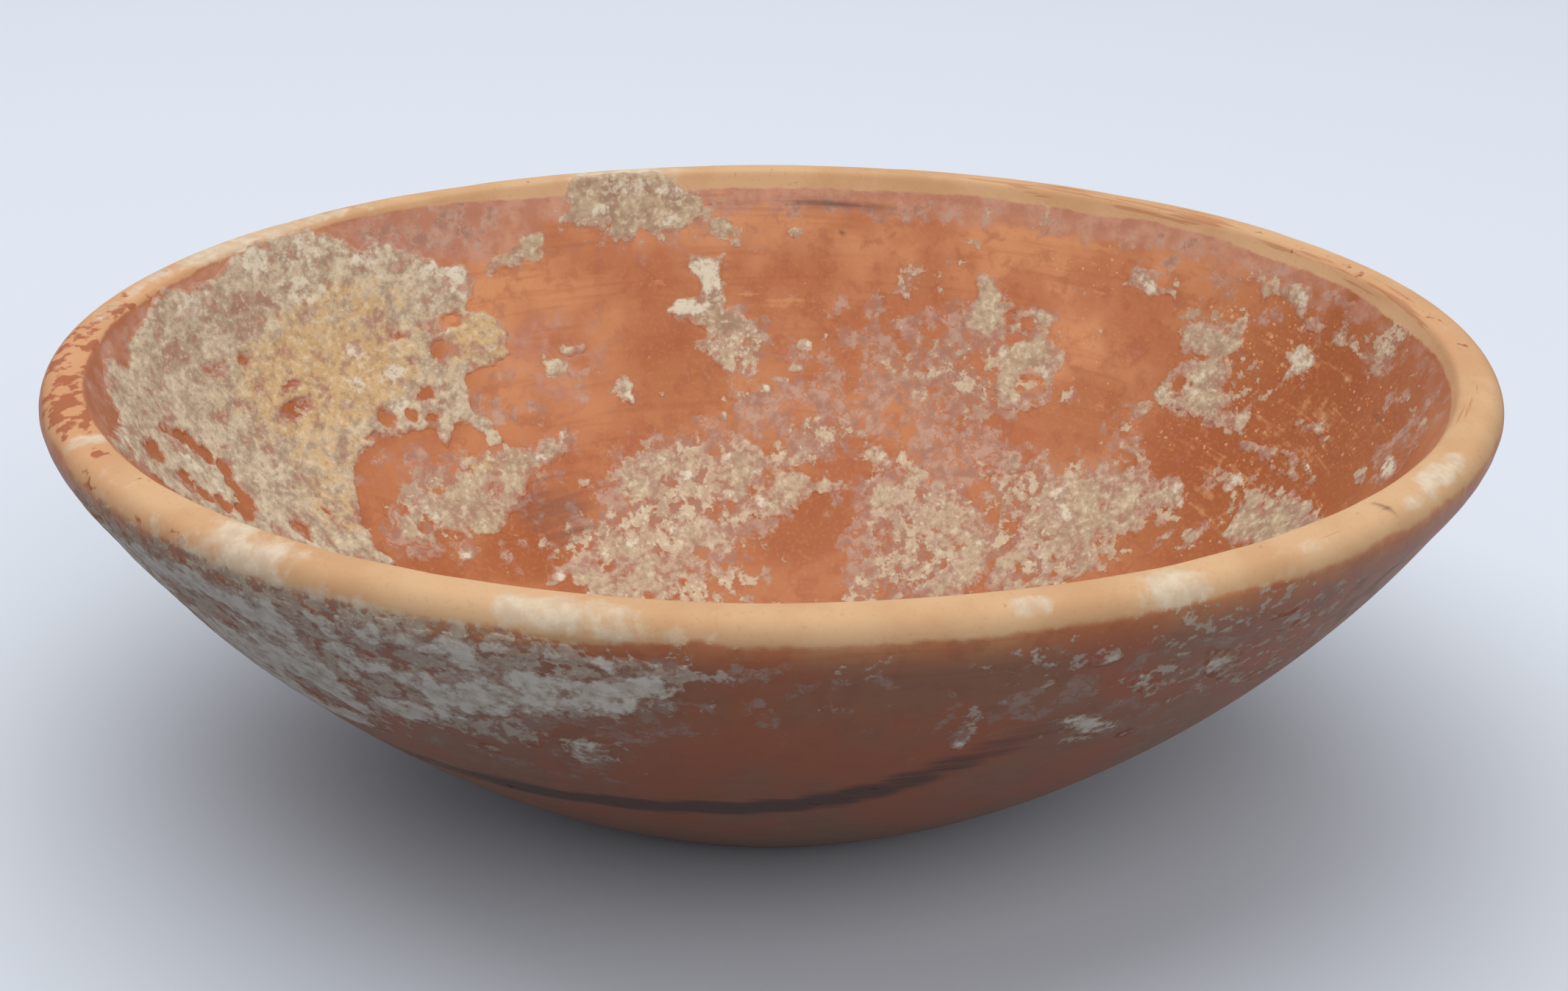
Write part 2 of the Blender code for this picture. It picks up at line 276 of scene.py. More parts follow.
rim_middle = (0, 0, bowl_high.z)
add_lamp("lamp_above", (-0.1, 0.15, 1.0), rim_middle, size=1.4, power=10.8)
add_lamp("lamp_front", (0.35, -0.9, 0.75), rim_middle, size=0.8, power=5.0)
print(len(bpy.data.lights), "lamps")

# %% [markdown]
# ## The bowl's section, read from the frame
# The body of the frame was turned on an axis, so its points lie in rings, and a ring's radius and
# height are one point of its section. Two such points that lie closer than a hair are the same ring,
# which rounding has parted. Walking from the middle of the floor along the edges between rings gives
# the line up the inside, over the lip and down to the foot. The turned body has only a few rings up
# its wall, so a smooth curve is laid through them. This fine line knows at each point how far down
# the wall it is and which way the air lies.

# %% Section of the bowl
TOUCHING = 0.01
SAME_RING = 0.05


def section_of(piece):
    """The rings of a turned piece in order, as radius and height in millimetres."""
    rings, ring_of = [], []
    for vertex in piece.data.vertices:
        radius = math.hypot(vertex.co.x, vertex.co.y)
        place = round(radius / MM, 2), round(vertex.co.z / MM, 2) + 0.0
        ring = next((known for known in rings if math.dist(known, place) < SAME_RING), None)
        if ring is None:
            ring = place
            rings.append(ring)
        ring_of.append(ring)
    neighbours = {ring: set() for ring in rings}
    for start, end in piece.data.edge_keys:
        if ring_of[start] != ring_of[end]:
            neighbours[ring_of[start]].add(ring_of[end])
            neighbours[ring_of[end]].add(ring_of[start])
    path = [max((ring for ring in rings if ring[0] < TOUCHING), key=lambda ring: ring[1])]
    while True:
        onward = [ring for ring in neighbours[path[-1]] if ring not in path]
        if not onward:
            return np.array(path)
        path.append(onward[0])


def run_along(points):
    """The distance from the first point to each, along the line through them."""
    return np.concatenate([[0], np.cumsum(np.linalg.norm(np.diff(points, axis=0), axis=1))])


def smooth_through(points, run, wanted):
    """A cubic curve through the points, read at other distances along it."""
    slope = np.gradient(points, run, axis=0)
    piece = np.clip(np.searchsorted(run, wanted, side="right") - 1, 0, len(run) - 2)
    length = (run[piece + 1] - run[piece])[:, None]
    share = (wanted - run[piece])[:, None] / length
    rise = share * share * (3 - 2 * share)
    lean_in = share * (1 - share) ** 2 * length
    lean_out = share * share * (share - 1) * length
    return (
        points[piece] * (1 - rise)
        + points[piece + 1] * rise
        + slope[piece] * lean_in
        + slope[piece + 1] * lean_out
    )


section = section_of(frame["nodes"]["bowl_body"])
run = run_along(section)
top = np.flatnonzero(section[:, 1] > section[:, 1].max() - TOUCHING)
inside_length, lip_width = run[top[0]], run[top[-1]] - run[top[0]]
foot = np.flatnonzero(section[:, 1] < TOUCHING)[0]
print("section of", len(section), "points,", round(inside_length, 1), "mm down the inside")

# %% Fine line
LINE_STEP = 0.1

line_run = np.arange(0, run[foot - 1], LINE_STEP)
line = smooth_through(section[: foot + 1], run[: foot + 1], line_run)
line = np.minimum(line, section.max(axis=0))
line = np.concatenate([line, section[foot - 1 : foot + 1], [[0, 0]]])
line_run = run_along(line)
line_down = inside_length - line_run
heading = np.gradient(line, line_run, axis=0)
away = np.stack([-heading[:, 1], heading[:, 0]], axis=1)
away /= np.linalg.norm(away, axis=1)[:, None]
print("fine line of", len(line), "points")

# %% [markdown]
# ## Random lumps
# Clay, wear and lime all need randomness that is smooth, repeats exactly at each run, and can be
# read at any point in space. The usual way is a lattice of random numbers, blended between its
# corners. Several layers of it, each finer and weaker, look natural.

# %% Lumps
LATTICE = 64
LAYER_FADE = 1.7
LAYERED_STRENGTH = 1.5


def lumps(points, size, seed):
    """Smooth random values from -1 to 1, in lumps of about this many millimetres."""
    table = np.random.default_rng(seed).random((LATTICE, LATTICE, LATTICE))
    cell = points / size
    low = np.floor(cell).astype(int)
    share = cell - low
    share = share * share * (3 - 2 * share)
    total = np.zeros(len(points))
    for corner in itertools.product((0, 1), repeat=3):
        weight = np.where(corner, share, 1 - share).prod(axis=1)
        x, y, z = ((low + corner) % LATTICE).T
        total += weight * table[x, y, z]
    return 2 * total - 1


def rough_lumps(points, size, seed, layers=3):
    """Lumps with finer and weaker lumps on them."""
    layered = [lumps(points, size / 2**i, seed + i) / LAYER_FADE**i for i in range(layers)]
    return sum(layered) / sum(1 / LAYER_FADE**i for i in range(layers)) * LAYERED_STRENGTH


# %% [markdown]
# ## The wall as a function
# Body and crust have to share one surface, or the crust would float off it or sink in. So the wall
# is a function: an azimuth and a distance down give a point and the direction away from the clay.
# A distance below zero goes over the lip and down the outside. Hands and a smooth pebble shaped
# this wall, so it gets shallow dents, and its lip a few more. They all go inwards, which keeps the
# bowl within the size of its solid.

# %% Wall
DENT_DEPTH, DENT_SIZE, DENT_SEED = 0.12, 17, 1
LIP_DENT_DEPTH, LIP_DENT_SIZE, LIP_DENT_SEED = 0.22, 5, 2
LIP_REACH = 4.0
CALM_AT_FOOT = 3
box_height = section[:, 1].max()


def other_side(down):
    """Turns a distance down the inside into one down the outside, and back."""
    return -down - lip_width


def radius_at(down):
    """The bowl's radius at a distance down, in millimetres."""
    return np.interp(down, line_down[::-1], line[::-1, 0])


def wall(azimuth, down):
    """Points on the bowl's surface and the directions away from it, both in millimetres."""
    radius, height, across, rise = (
        np.interp(down, line_down[::-1], values[::-1]) for values in (*line.T, *away.T)
    )
    turn = np.radians(azimuth)
    points = np.stack([radius * np.cos(turn), radius * np.sin(turn), height], axis=1)
    normals = np.stack([across * np.cos(turn), across * np.sin(turn), rise], axis=1)
    dents = DENT_DEPTH * (0.5 + 0.5 * lumps(points, DENT_SIZE, DENT_SEED))
    near_lip = np.clip(1 - np.abs(down + lip_width / 2) / LIP_REACH, 0, 1)
    lip_lumps = lumps(points, LIP_DENT_SIZE, LIP_DENT_SEED)
    dents = dents + LIP_DENT_DEPTH * near_lip * np.clip(lip_lumps, 0, 1) ** 1.5
    dents = dents * np.clip(height / CALM_AT_FOOT, 0, 1)
    return points - normals * dents[:, None], normals


print("the mouth is", round(2 * float(radius_at(0)), 1), "mm across")

# %% [markdown]
# ## Painting by marks
# The bowl's history is written on it in places: haze here, a dark line there. Each such thing is a short
# list of soft ovals, placed on the wall: azimuth, distance down, half width in degrees, half height in
# millimetres, and strength. The strongest mark at each place is stored on the mesh, and the material
# breaks it up with fine noise.

# %% Marks
def soft_step(value, low, high):
    """0 below low, 1 above high, and a smooth rise between them."""
    share = np.clip((value - low) / (high - low), 0, 1)
    return share * share * (3 - 2 * share)


def turn_from(azimuth, start):
    """The angle from one azimuth to another, between -180 and 180 degrees."""
    return (azimuth - start + 180) % 360 - 180


def paint(marks, azimuth, down):
    """The strongest mark at each place."""
    found = np.zeros(len(azimuth))
    for mark_azimuth, mark_down, half_width, half_height, strength in marks:
        reach = (turn_from(azimuth, mark_azimuth) / half_width) ** 2
        reach = reach + ((down - mark_down) / half_height) ** 2
        found = np.maximum(found, strength / (1 + reach**3))
    return found


# %% [markdown]
# ## Where the haze, the film and the soot lie
# The haze is a pinkish grey veil that soaks into the slip. The film is lime too thin to be a piece of its
# own, in wisps round the patches and over the lip. The dark marks darken the slip. They include one long
# band low on the outside, and a thin line under the back of the lip that is painted shade. Distances on
# the outside are measured down from the outer edge of the lip.

# %% Haze
haze_inside = [
    (70, 31, 11, 8, 1), (62, 38, 9, 8, 1), (74, 24, 7, 4, 0.9), (66, 21, 6, 4, 0.9), (79, 20, 4, 3, 0.7),
    (86, 35, 10, 5, 0.95), (95, 38, 7, 3, 0.8), (82, 38, 8, 4, 0.9), (60, 30, 7, 5, 0.8),
    (84, 27, 5, 3, 0.7), (104, 44, 14, 7, 0.9), (66, 48, 12, 6, 1), (62, 55, 14, 6, 1),
    (56, 60, 18, 6, 0.9), (93, 46, 4, 4, 0.8), (110, 53, 22, 8, 0.85), (148, 38, 9, 3, 0.9),
    (140, 42, 10, 4, 0.8), (158, 42, 7, 4, 0.9), (150, 46, 12, 3, 0.6), (130, 42, 7, 2, 0.6),
    (124, 37, 6, 2, 0.6), (126, 30, 6, 5, 0.45), (114, 31, 4, 3, 0.5), (128, 4.4, 10, 3.4, 0.8),
    (35, 8, 7, 3, 0.55), (45, 5.5, 8, 2.6, 0.5), (147, 33, 8, 4, 0.45), (37, 14, 4, 3, 0.6),
    (36, 31, 5, 3, 0.6), (50, 38, 7, 4, 0.8), (46, 42, 9, 5, 0.85), (44, 52, 16, 8, 0.85),
    (30, 5, 7, 2, 0.5), (20, 5, 9, 2, 0.5), (10, 6, 5, 4, 0.65), (0, 7, 6, 4, 0.5), (37, 42, 9, 9, 0.85),
    (95, 25, 5, 5, 0.95), (193, 9, 5, 4, 0.9), (190, 18, 4, 5, 0.8), (-8, 9, 6, 6, 0.7),
    (232, 22, 26, 16, 0.6), (306, 27, 22, 14, 0.6), (62, 5, 8, 2, 0.5), (75, 5, 22, 2.4, 0.45),
    (113, 48, 11, 6, 0.6), (142, 48, 10, 4, 0.55), (134, 37, 14, 3, 0.5), (230, 40, 20, 10, 0.7),
    (300, 48, 24, 9, 0.75), (265, 66, 50, 14, 0.9),
]
haze_outside = [
    (312, 20, 20, 14, 0.6), (322, 36, 18, 12, 0.6), (225, 40, 20, 10, 0.5), (272, 12, 9, 6, 0.35),
    (232, 14, 32, 14, 0.85), (285, 52, 30, 5, 0.4), (246, 30, 12, 6, 0.5), (30, 20, 24, 16, 0.65),
    (90, 22, 28, 15, 0.6), (160, 20, 24, 15, 0.65), (290, 14, 9, 6, 0.5), (125, 30, 20, 10, 0.5),
    (60, 34, 16, 8, 0.5),
]
print(len(haze_inside) + len(haze_outside), "marks of haze")

# %% Film of lime
film_inside = [
    (105, 0.4, 6, 2.2, 1), (104, 6, 9, 4, 0.8), (94.6, 25, 4.4, 5, 1), (104, 45, 14, 6, 0.9),
    (112, 53, 20, 6, 0.9), (88, 42, 8, 3, 0.75), (61, 26, 8, 7, 0.75), (62, 48, 12, 5, 0.9),
    (56, 56, 14, 6, 0.85), (35, 45, 16, 10, 0.9), (147, 40, 10, 5, 0.85), (82, 38, 6, 2.4, 0.75),
    (70, 27, 7, 6, 0.62), (46, 44, 8, 6, 0.8), (34, 21, 7, 4, 0.62), (122, 63, 34, 7, 0.85),
    (62, 62, 12, 6, 0.75), (95, 8.6, 2.4, 2.2, 0.75), (87.6, 8.9, 0.9, 1.2, 0.9), (68, 9, 1, 1, 0.7),
    (68.8, 12, 0.6, 2, 0.7), (74, 14, 2.2, 3, 0.75), (76.5, 17, 2.4, 1.2, 0.7), (66, 4, 3, 1, 0.6),
    (61, 5, 1, 2.4, 0.65), (71, 3.6, 4, 0.8, 0.55), (10, 5, 3.4, 3.6, 0.85), (17, 7.4, 3.6, 1.4, 0.7),
    (33, 5.6, 4, 1.4, 0.7), (-2.5, 7.2, 3, 1.6, 0.6), (-7, 6.4, 4, 1, 0.6), (4, 6, 3, 1, 0.5),
    (38, 14, 3, 2.6, 0.8), (35, 11, 3.4, 2.4, 0.6), (118.8, 26.2, 2.2, 1.8, 0.85),
    (115.2, 24, 1.4, 0.7, 0.7), (110.5, 30.6, 2.2, 2, 0.85), (86, 25.2, 1.8, 0.9, 0.8),
    (83, 24.6, 1.6, 1.4, 0.6), (91, 31.6, 1, 1, 0.9), (88.6, 30.4, 1.8, 0.6, 0.85), (97, 35.8, 1, 1, 0.8),
    (94, 33, 1, 1.6, 0.7), (87, 28.4, 1.4, 1, 0.7), (97, 33.4, 1, 0.8, 0.65),
    (49.4, 27.6, 1.4, 1.6, 0.75), (49, 30.6, 0.8, 0.7, 0.6), (62.6, 33.2, 2.6, 1.4, 0.6),
    (84, 47, 4, 1.4, 0.6), (91, 50, 5, 2, 0.85), (72, 40.6, 4, 2, 0.8), (117, 52, 22, 5, 0.75),
    (58, 50, 10, 5, 0.7), (80, 40, 5, 3, 0.6), (30, 50, 12, 5, 0.7), (24, 37, 7, 3, 0.6),
    (36, 33, 6, 3, 0.55), (16, 29, 5, 1.4, 0.7), (12, 37, 3, 2.4, 0.75), (4, 29, 10, 5, 0.75),
    (148, 42, 10, 3, 0.75), (134, 38, 10, 3, 0.7), (152, 47.6, 3, 1.2, 0.7), (122, 43.6, 1.5, 1, 0.8),
    (192, 7.6, 7, 1.6, 0.8), (184, 18, 5, 8, 0.6), (24, 24, 4, 1, 0.7), (30, 19, 9, 5, 0.6),
    (57, 24, 6, 6, 0.6), (45, 9.6, 3.6, 1.4, 0.6), (225, 20, 16, 8, 0.55), (306, 26, 14, 9, 0.6),
    (260, 66, 40, 8, 0.6),
]
film_outside = [
    (252, 11, 12, 7, 0.95), (225, 16, 26, 14, 0.9), (240, 7, 22, 3, 0.9), (256, 24, 4, 4, 0.7),
    (247, 21, 8, 4, 0.8), (299, 15, 3, 6, 0.6), (305, 17, 6, 6, 0.6), (296, 23, 5, 4, 0.6),
    (285, 17, 3, 4, 0.5), (313, 10, 6, 5, 0.6), (263, 8, 5, 3, 0.8), (276, 7, 3, 2, 0.5),
    (236, 5.2, 26, 2, 0.9), (228, 9, 26, 5, 0.9), (289, 8, 6, 3, 0.6), (303, 7, 9, 4, 0.6),
    (314, 20, 6, 6, 0.6), (243, 29, 5, 4, 0.5), (22, 20, 18, 11, 0.7), (90, 22, 18, 11, 0.7),
    (158, 20, 14, 10, 0.7), (340, 14, 10, 9, 0.6), (200, 22, 12, 12, 0.7),
]
film_lip = [
    (231.5, -2.8, 4.6, 3.6, 1), (218, -6.4, 9, 1.4, 0.7), (212, -3, 4, 0.8, 0.6),
    (205.5, -1.6, 1.5, 3.4, 0.8), (256, -3.2, 5.6, 2.4, 0.95), (262, -5, 5, 1.2, 0.65),
    (287.4, -3, 1.8, 1.6, 0.9), (297.6, -3.2, 2.6, 3.2, 0.95), (310, -3, 3, 1, 0.5),
    (329, -2.2, 4.6, 1.8, 1), (323.4, -3.2, 2.4, 1.4, 0.85), (104, -0.6, 6, 2.4, 1),
    (148, -1.6, 16, 2.8, 0.95), (170, -1.5, 8, 1.2, 0.6), (30, -3, 4, 1, 0.6), (60, -4, 6, 1, 0.5),
]
print(len(film_inside) + len(film_outside) + len(film_lip), "marks of film")

# %% Dark marks
dark_inside = [
    # The first four marks are a thin dark line under the back of the lip: painted shade in a shallow
    # groove inside the rim that isn't modelled.
    (93, 4.6, 4, 0.5, 0.45), (83, 5.3, 7, 0.6, 0.7), (76, 5.8, 5, 0.4, 0.5), (86, 4.2, 6, 0.3, 0.4),
    (82.3, 9, 0.5, 0.7, 0.8), (130, 46.6, 8, 5.4, 0.54), (110, 7.4, 3.4, 0.8, 0.45),
    (136, 27.5, 0.8, 0.7, 0.7), (92, 22.4, 1.2, 1.6, 0.35), (2, 12, 2.4, 0.5, 0.5), (117, 20, 3, 6, 0.2),
]
dark_outside = [
    (232, 40.6, 9, 2.2, 0.8), (245, 40, 9, 2.4, 1.05), (256, 39.4, 8, 2.5, 1.1), (265, 38.4, 6, 2.5, 1.1),
    (271, 37.2, 4.4, 2.5, 1.05), (275.4, 35.6, 3.6, 2.6, 1), (279, 33.2, 3.2, 2.7, 0.95),
    (282.2, 30.6, 3, 2.8, 0.85), (285.4, 27.6, 3, 2.8, 0.75), (288.4, 24.6, 3, 2.8, 0.6),
    (291.4, 21.8, 3, 2.6, 0.45), (319.4, 0.3, 0.6, 1.6, 0.7), (215, 42, 10, 2, 0.6),
    (345, 41, 18, 1.6, 0.4), (60, 40, 24, 1.4, 0.4), (140, 42, 20, 1.5, 0.35),
]
print(len(dark_inside) + len(dark_outside), "dark marks")

# %% [markdown]
# The slip itself isn't even: it is rubbed thin and buff in places, sprinkled with pale specks, rosy
# where the firing turned it, and a deeper red on the right wall and the floor. Remnants of it are
# left on the lip, as spots on the left and as streaks on the right.

# %% Colour of the slip
buff_inside = [
    (56, 7, 7, 0.5, 1), (88, 19, 4, 1.2, 0.9), (93, 18, 2, 0.8, 0.9), (104, 15.8, 2, 0.6, 0.8),
    (54, 11, 8, 3, 0.6), (20, 12, 14, 5, 0.6), (10, 22, 14, 10, 0.7), (14, 30, 12, 8, 0.7),
    (28, 27, 8, 4, 0.6), (36, 24, 3, 5, 0.5), (26, 48, 8, 3, 0.4), (44, 24, 4, 6, 0.5),
    (100, 27, 3, 2, 0.6), (96, 19, 8, 6, 0.3), (0, 20, 14, 14, 0.6),
]
speck_marks = [
    (28, 12, 12, 7, 0.8), (20, 24, 14, 8, 0.7), (6, 14, 10, 8, 0.7), (54, 9, 6, 4, 0.6),
    (50, 22, 8, 8, 0.5), (36, 28, 8, 5, 0.6), (88, 19, 6, 4, 0.35), (75, 30, 14, 8, 0.4),
    (12, 34, 14, 8, 0.5), (300, 20, 40, 20, 0.4), (105, 28, 14, 8, 0.2), (45, 46, 20, 8, 0.3),
]
rosy_inside = [(126, 6, 11, 4.5, 0.9), (100, 10, 12, 3, 0.4), (118, 24, 8, 8, 0.5), (150, 33, 10, 3, 0.4)]
deep_inside = [
    (10, 22, 30, 26, 1), (85, 52, 14, 9, 1), (142, 51, 12, 6, 1), (90, 24, 30, 14, 0.4),
    (102, 30, 8, 8, 0.8), (45, 30, 8, 8, 0.8), (180, 20, 32, 24, 0.9), (140, 26, 14, 8, 0.6),
]
lip_spots = [
    (191, -1.4, 18, 4, 1.06), (170, -0.6, 12, 2.4, 0.7), (210, -4, 8, 2, 0.6), (222, -5, 10, 1.6, 0.5),
    (6, -0.4, 12, 1.3, 0.45), (26, -0.2, 12, 1.3, 0.5), (14, -4.4, 20, 1.2, 0.42),
]
lip_streaks = [
    (62, -0.3, 9, 1.6, 0.8), (48, 0.2, 12, 1.4, 0.8), (30, 0.8, 16, 1.2, 0.6), (12, 0.6, 12, 1.4, 0.7),
    (350, -0.5, 12, 1.6, 0.5),
]
print(len(lip_spots) + len(lip_streaks), "marks of slip left on the lip")

# %% [markdown]
# ## Where the slip begins
# The slip was painted up to the lip and has worn off its top. Its edge wanders, so it is a short
# list of places round the bowl, at each of which the slip begins so far down the inside, and so far
# down the outside. How rosy the slip is under the lip changes round the bowl too.

# %% Slip edge
slip_edge_inside = {
    0: 2.2, 10: 2.7, 20: 2.5, 30: 2.6, 40: 2.3, 50: 2.2, 57: 2.8, 70: 2.6, 80: 2.7, 90: 2.8, 100: 3,
    112: 2.6, 120: 2.1, 130: 1.3, 145: 1.2, 165: 1, 181: 0.6, 200: 0.4, 230: 0.8, 270: 1.2, 310: 1.4,
    345: 1.8,
}
slip_edge_outside = {
    0: 3.2, 40: 2.8, 90: 3.2, 140: 3, 180: 2.2, 210: 3.2, 240: 4, 270: 3.9, 300: 3.7, 330: 3.4,
}
rosy_share = {0: 0.4, 25: 0.6, 45: 0.95, 90: 0.85, 126: 1, 160: 0.8, 200: 0.4, 270: 0.6, 340: 0.35}


def round_the_bowl(places, azimuth):
    """A value that changes smoothly from one azimuth to the next, all the way round."""
    known = sorted(places)
    return np.interp(azimuth % 360, known, [places[key] for key in known], period=360)


print("the slip begins", min(slip_edge_inside.values()), "to", max(slip_edge_inside.values()), "mm down")

# %% [markdown]
# ## The flakes, one by one
# Burial left patches of lime on the slip. Each is a short recipe: an outline on the wall, holes,
# crumbs beside it, how thick it is, how torn, and where it is ochre, white or stained. A hole or a
# crumb is an oval: azimuth, distance down, half width and half height. The edge is how many
# millimetres a flake takes to reach its thickness, and the density how well it hides the slip.

# %% A recipe
PLAIN_FLAKE = {
    "edge": 0.8, "density": 1, "outside": False,
    "holes": [], "crumbs": [], "ochre": [], "white": [], "stain": [],
}
flakes = {}


def note_flake(name, **recipe):
    """Keeps the recipe of a flake under its name; what it doesn't say is plain."""
    flakes[name] = PLAIN_FLAKE | recipe
    print(name, "has", len(recipe["outline"]), "corners")


# %% [markdown]
# The big patch on the left wall is thick and sandy, with ochre in its middle. It ends in a ragged
# edge above the floor, and small holes near the lip show the slip.

# %% Crust on the left wall
note_flake(
    "crust_left_wall", thickness=0.34, edge=0.45, lace=0.6,
    outline=[
        (124, 11.5), (124.6, 9.6), (127, 9.4), (130, 7.6), (133, 5.2), (134.4, 3.8), (136.2, 5),
        (138.4, 2.4), (142, 0.7), (148, 0.4), (152, 0.8), (154.6, 2.2), (160, 2.5), (163.5, 0.8),
        (167, 1.9), (172, 3.2), (177.4, 3.6), (181, 2.6), (186, 3.6), (189, 6.4), (195, 7.3), (196.4, 9),
        (194, 14.5), (190.4, 21), (185, 28), (179, 35.4), (171, 42.4), (166, 43.6), (166.6, 40.4),
        (164, 37.3), (160, 34), (156, 31.2), (153, 29.8), (147, 29.4), (143, 30.2), (139.8, 30.4),
        (139.4, 33.6), (137.4, 31.6), (134.6, 30.8), (133, 33.4), (133.4, 35.2), (130.2, 35.2),
        (130.2, 32), (132, 29.4), (130.8, 26.8), (131, 25), (127, 24.3), (123.6, 23.2), (122.9, 20),
        (124.5, 17), (126.8, 16), (125, 14),
    ],
    holes=[
        (154.8, 18.2, 1.2, 0.6), (156.4, 20.9, 1.8, 0.5), (181.3, 12.6, 1.1, 0.8), (180, 14.3, 1, 1),
        (178.7, 16.2, 0.9, 1.1), (178.1, 18.4, 1.1, 1.3), (177.4, 20.6, 1, 1.2), (178.8, 22.8, 0.9, 1.1),
        (180.6, 24.8, 1.6, 1), (188.6, 11.8, 2, 1.2), (187.8, 17.2, 1.6, 1.3), (187, 19.6, 1.3, 1.4),
        (185.4, 22.4, 1.3, 1.3), (183.2, 25.2, 1.5, 1.2), (176.2, 32, 1.2, 1.5), (167.8, 32.6, 0.7, 1),
        (129.2, 17.1, 1.7, 1), (132.2, 20.6, 1.6, 1.2), (136.6, 17.4, 0.8, 0.5), (137.2, 25.6, 0.8, 0.5),
        (145.2, 27.4, 1.1, 1), (141.2, 27.6, 0.8, 0.7), (138.6, 29, 0.7, 0.5), (148.6, 28.8, 1, 0.6),
        (163.5, 12.2, 0.9, 0.4), (159, 13.2, 0.6, 0.4), (151, 15.6, 0.5, 0.3), (177, 4.3, 1.4, 0.4),
    ],
    crumbs=[
        (118.8, 26.2, 1.7, 1.4), (115.3, 24, 1.1, 0.5), (110.4, 30.4, 1.6, 1.6), (105.2, 32, 0.7, 0.5),
        (121.8, 43.6, 1.1, 0.8), (109.6, 32.2, 0.8, 0.9), (146.6, 32.6, 0.4, 0.5),
    ],
    ochre=[
        (150, 19, 15, 8, 1), (143, 12, 10, 4, 0.7), (127, 20, 4.5, 4, 0.85), (165, 33, 8, 5, 0.6),
        (158, 27, 10, 4, 0.6), (136, 22, 7, 4, 0.5),
    ],
    white=[
        (126, 11.5, 2, 2.8, 1), (128.4, 9.8, 1.6, 1.2, 0.8), (143.4, 17.6, 1.4, 1.1, 0.9),
        (146, 21.8, 1.5, 1.3, 0.9), (140.3, 22, 1.8, 1.3, 0.9), (142.4, 26, 2, 1, 0.9),
        (136.5, 6, 2.4, 2, 0.7), (130.6, 18.4, 0.9, 0.5, 0.8), (146, 8, 5, 2.4, 0.65),
        (149.5, 3, 2.4, 2, 0.7), (143, 3.6, 4, 2.4, 0.65), (182.8, 17.4, 1.2, 2.6, 0.9),
        (182, 21, 1.2, 2.2, 0.8), (148.8, 23.6, 1.1, 0.8, 0.7), (121.8, 43.6, 1.1, 0.8, 0.8),
        (110.2, 31.6, 1.4, 1.6, 0.7), (150, 14, 1, 0.7, 0.6), (193, 7.6, 5, 1.2, 0.6),
        (161.5, 4.6, 5, 2, 0.6),
    ],
    stain=[
        (169, 8, 5, 2.2, 0.75), (155, 7.6, 6, 2.6, 0.75), (163, 6, 5, 2, 0.55), (176, 8.4, 4, 2, 0.6),
        (183, 9, 4, 2, 0.5), (136, 27.5, 1, 0.8, 0.9), (174, 20, 3, 1.4, 0.5), (161, 12, 4, 2, 0.5),
        (148, 5, 4, 2, 0.4), (190, 8.6, 4, 1.2, 0.7),
    ],
)
note_flake(
    "crust_left_streak", thickness=0.2, lace=0.4,
    outline=[
        (187.8, 6.6), (192, 6.2), (197, 4.8), (200.5, 3), (200.8, 5.2), (198, 7.6), (193, 9.4),
        (188, 9.6),
    ],
    white=[(195, 6.4, 5, 1, 0.6)],
)
note_flake(
    "crust_left_lower_wall", thickness=0.21, lace=0.95,
    outline=[
        (119.3, 35), (120.4, 34), (122.4, 35.4), (126, 36.2), (131, 35.4), (137, 36), (141, 37.6),
        (146, 38.6), (149, 36.6), (152, 38.2), (157, 38.8), (159.6, 41.6), (156, 44), (152, 43),
        (149, 44.8), (146, 46.8), (142, 46.6), (138, 44.4), (133, 42.6), (130, 40.6), (126, 39.8),
        (122.4, 39), (120.2, 37),
    ],
    holes=[(153.4, 41.6, 1.6, 1), (140, 37.4, 1.6, 0.8), (135.5, 40.6, 1.2, 0.6), (155, 38.4, 1.2, 0.6)],
    crumbs=[(152.4, 47.4, 1.9, 0.9), (134, 47.6, 1, 0.5), (139.4, 48, 0.8, 0.4)],
    ochre=[(135, 37, 5, 1.6, 0.6)],
    white=[
        (121.2, 36, 1.4, 1.5, 1), (150.8, 41, 1, 1.4, 1), (138.6, 44.3, 1.2, 0.5, 0.8),
        (126, 38.6, 1.4, 0.8, 0.8), (152.6, 47.6, 1.4, 0.6, 0.8),
    ],
)

# %% [markdown]
# The patches at the back are thinner. One lies over the lip and trails off to the left, and a
# narrow streak hangs below it, almost white.

# %% Crust at the back of the lip and below it
note_flake(
    "crust_back_rim", thickness=0.21, lace=0.5, density=1.3,
    outline=[
        (110.4, -0.6), (111.8, 1.6), (112, 4), (114, 7), (110, 6.6), (108, 7.4), (107.4, 9.6),
        (105.4, 9.6), (104.4, 8.2), (102.4, 9), (100.4, 9.2), (98, 7), (97.2, 5), (95, 4.8), (98.4, 3.2),
        (101, 0.8), (102, -0.6),
    ],
    crumbs=[(95.4, 8.4, 1.5, 1.3), (94, 10.4, 0.9, 0.9), (87.7, 8.9, 0.7, 1)],
    white=[
        (105, 2, 3, 1.4, 0.7), (100.6, 3, 1.6, 1.2, 0.8), (108, 5, 1.4, 0.9, 0.8),
        (101, 7, 1.2, 0.8, 0.7), (111.5, 3, 0.8, 1.4, 0.6), (87.7, 8.9, 0.8, 1, 0.7),
    ],
)
note_flake(
    "crust_back_rim_trail", thickness=0.17, lace=0.25, density=1.2,
    outline=[
        (114.4, 6.8), (117.6, 7.2), (118.6, 8.8), (121.6, 9.6), (123.2, 12.6), (121, 11.6), (118, 11),
        (116.2, 11.6), (115.4, 10),
    ],
    white=[(121.6, 10.8, 1.4, 1, 0.7)],
)
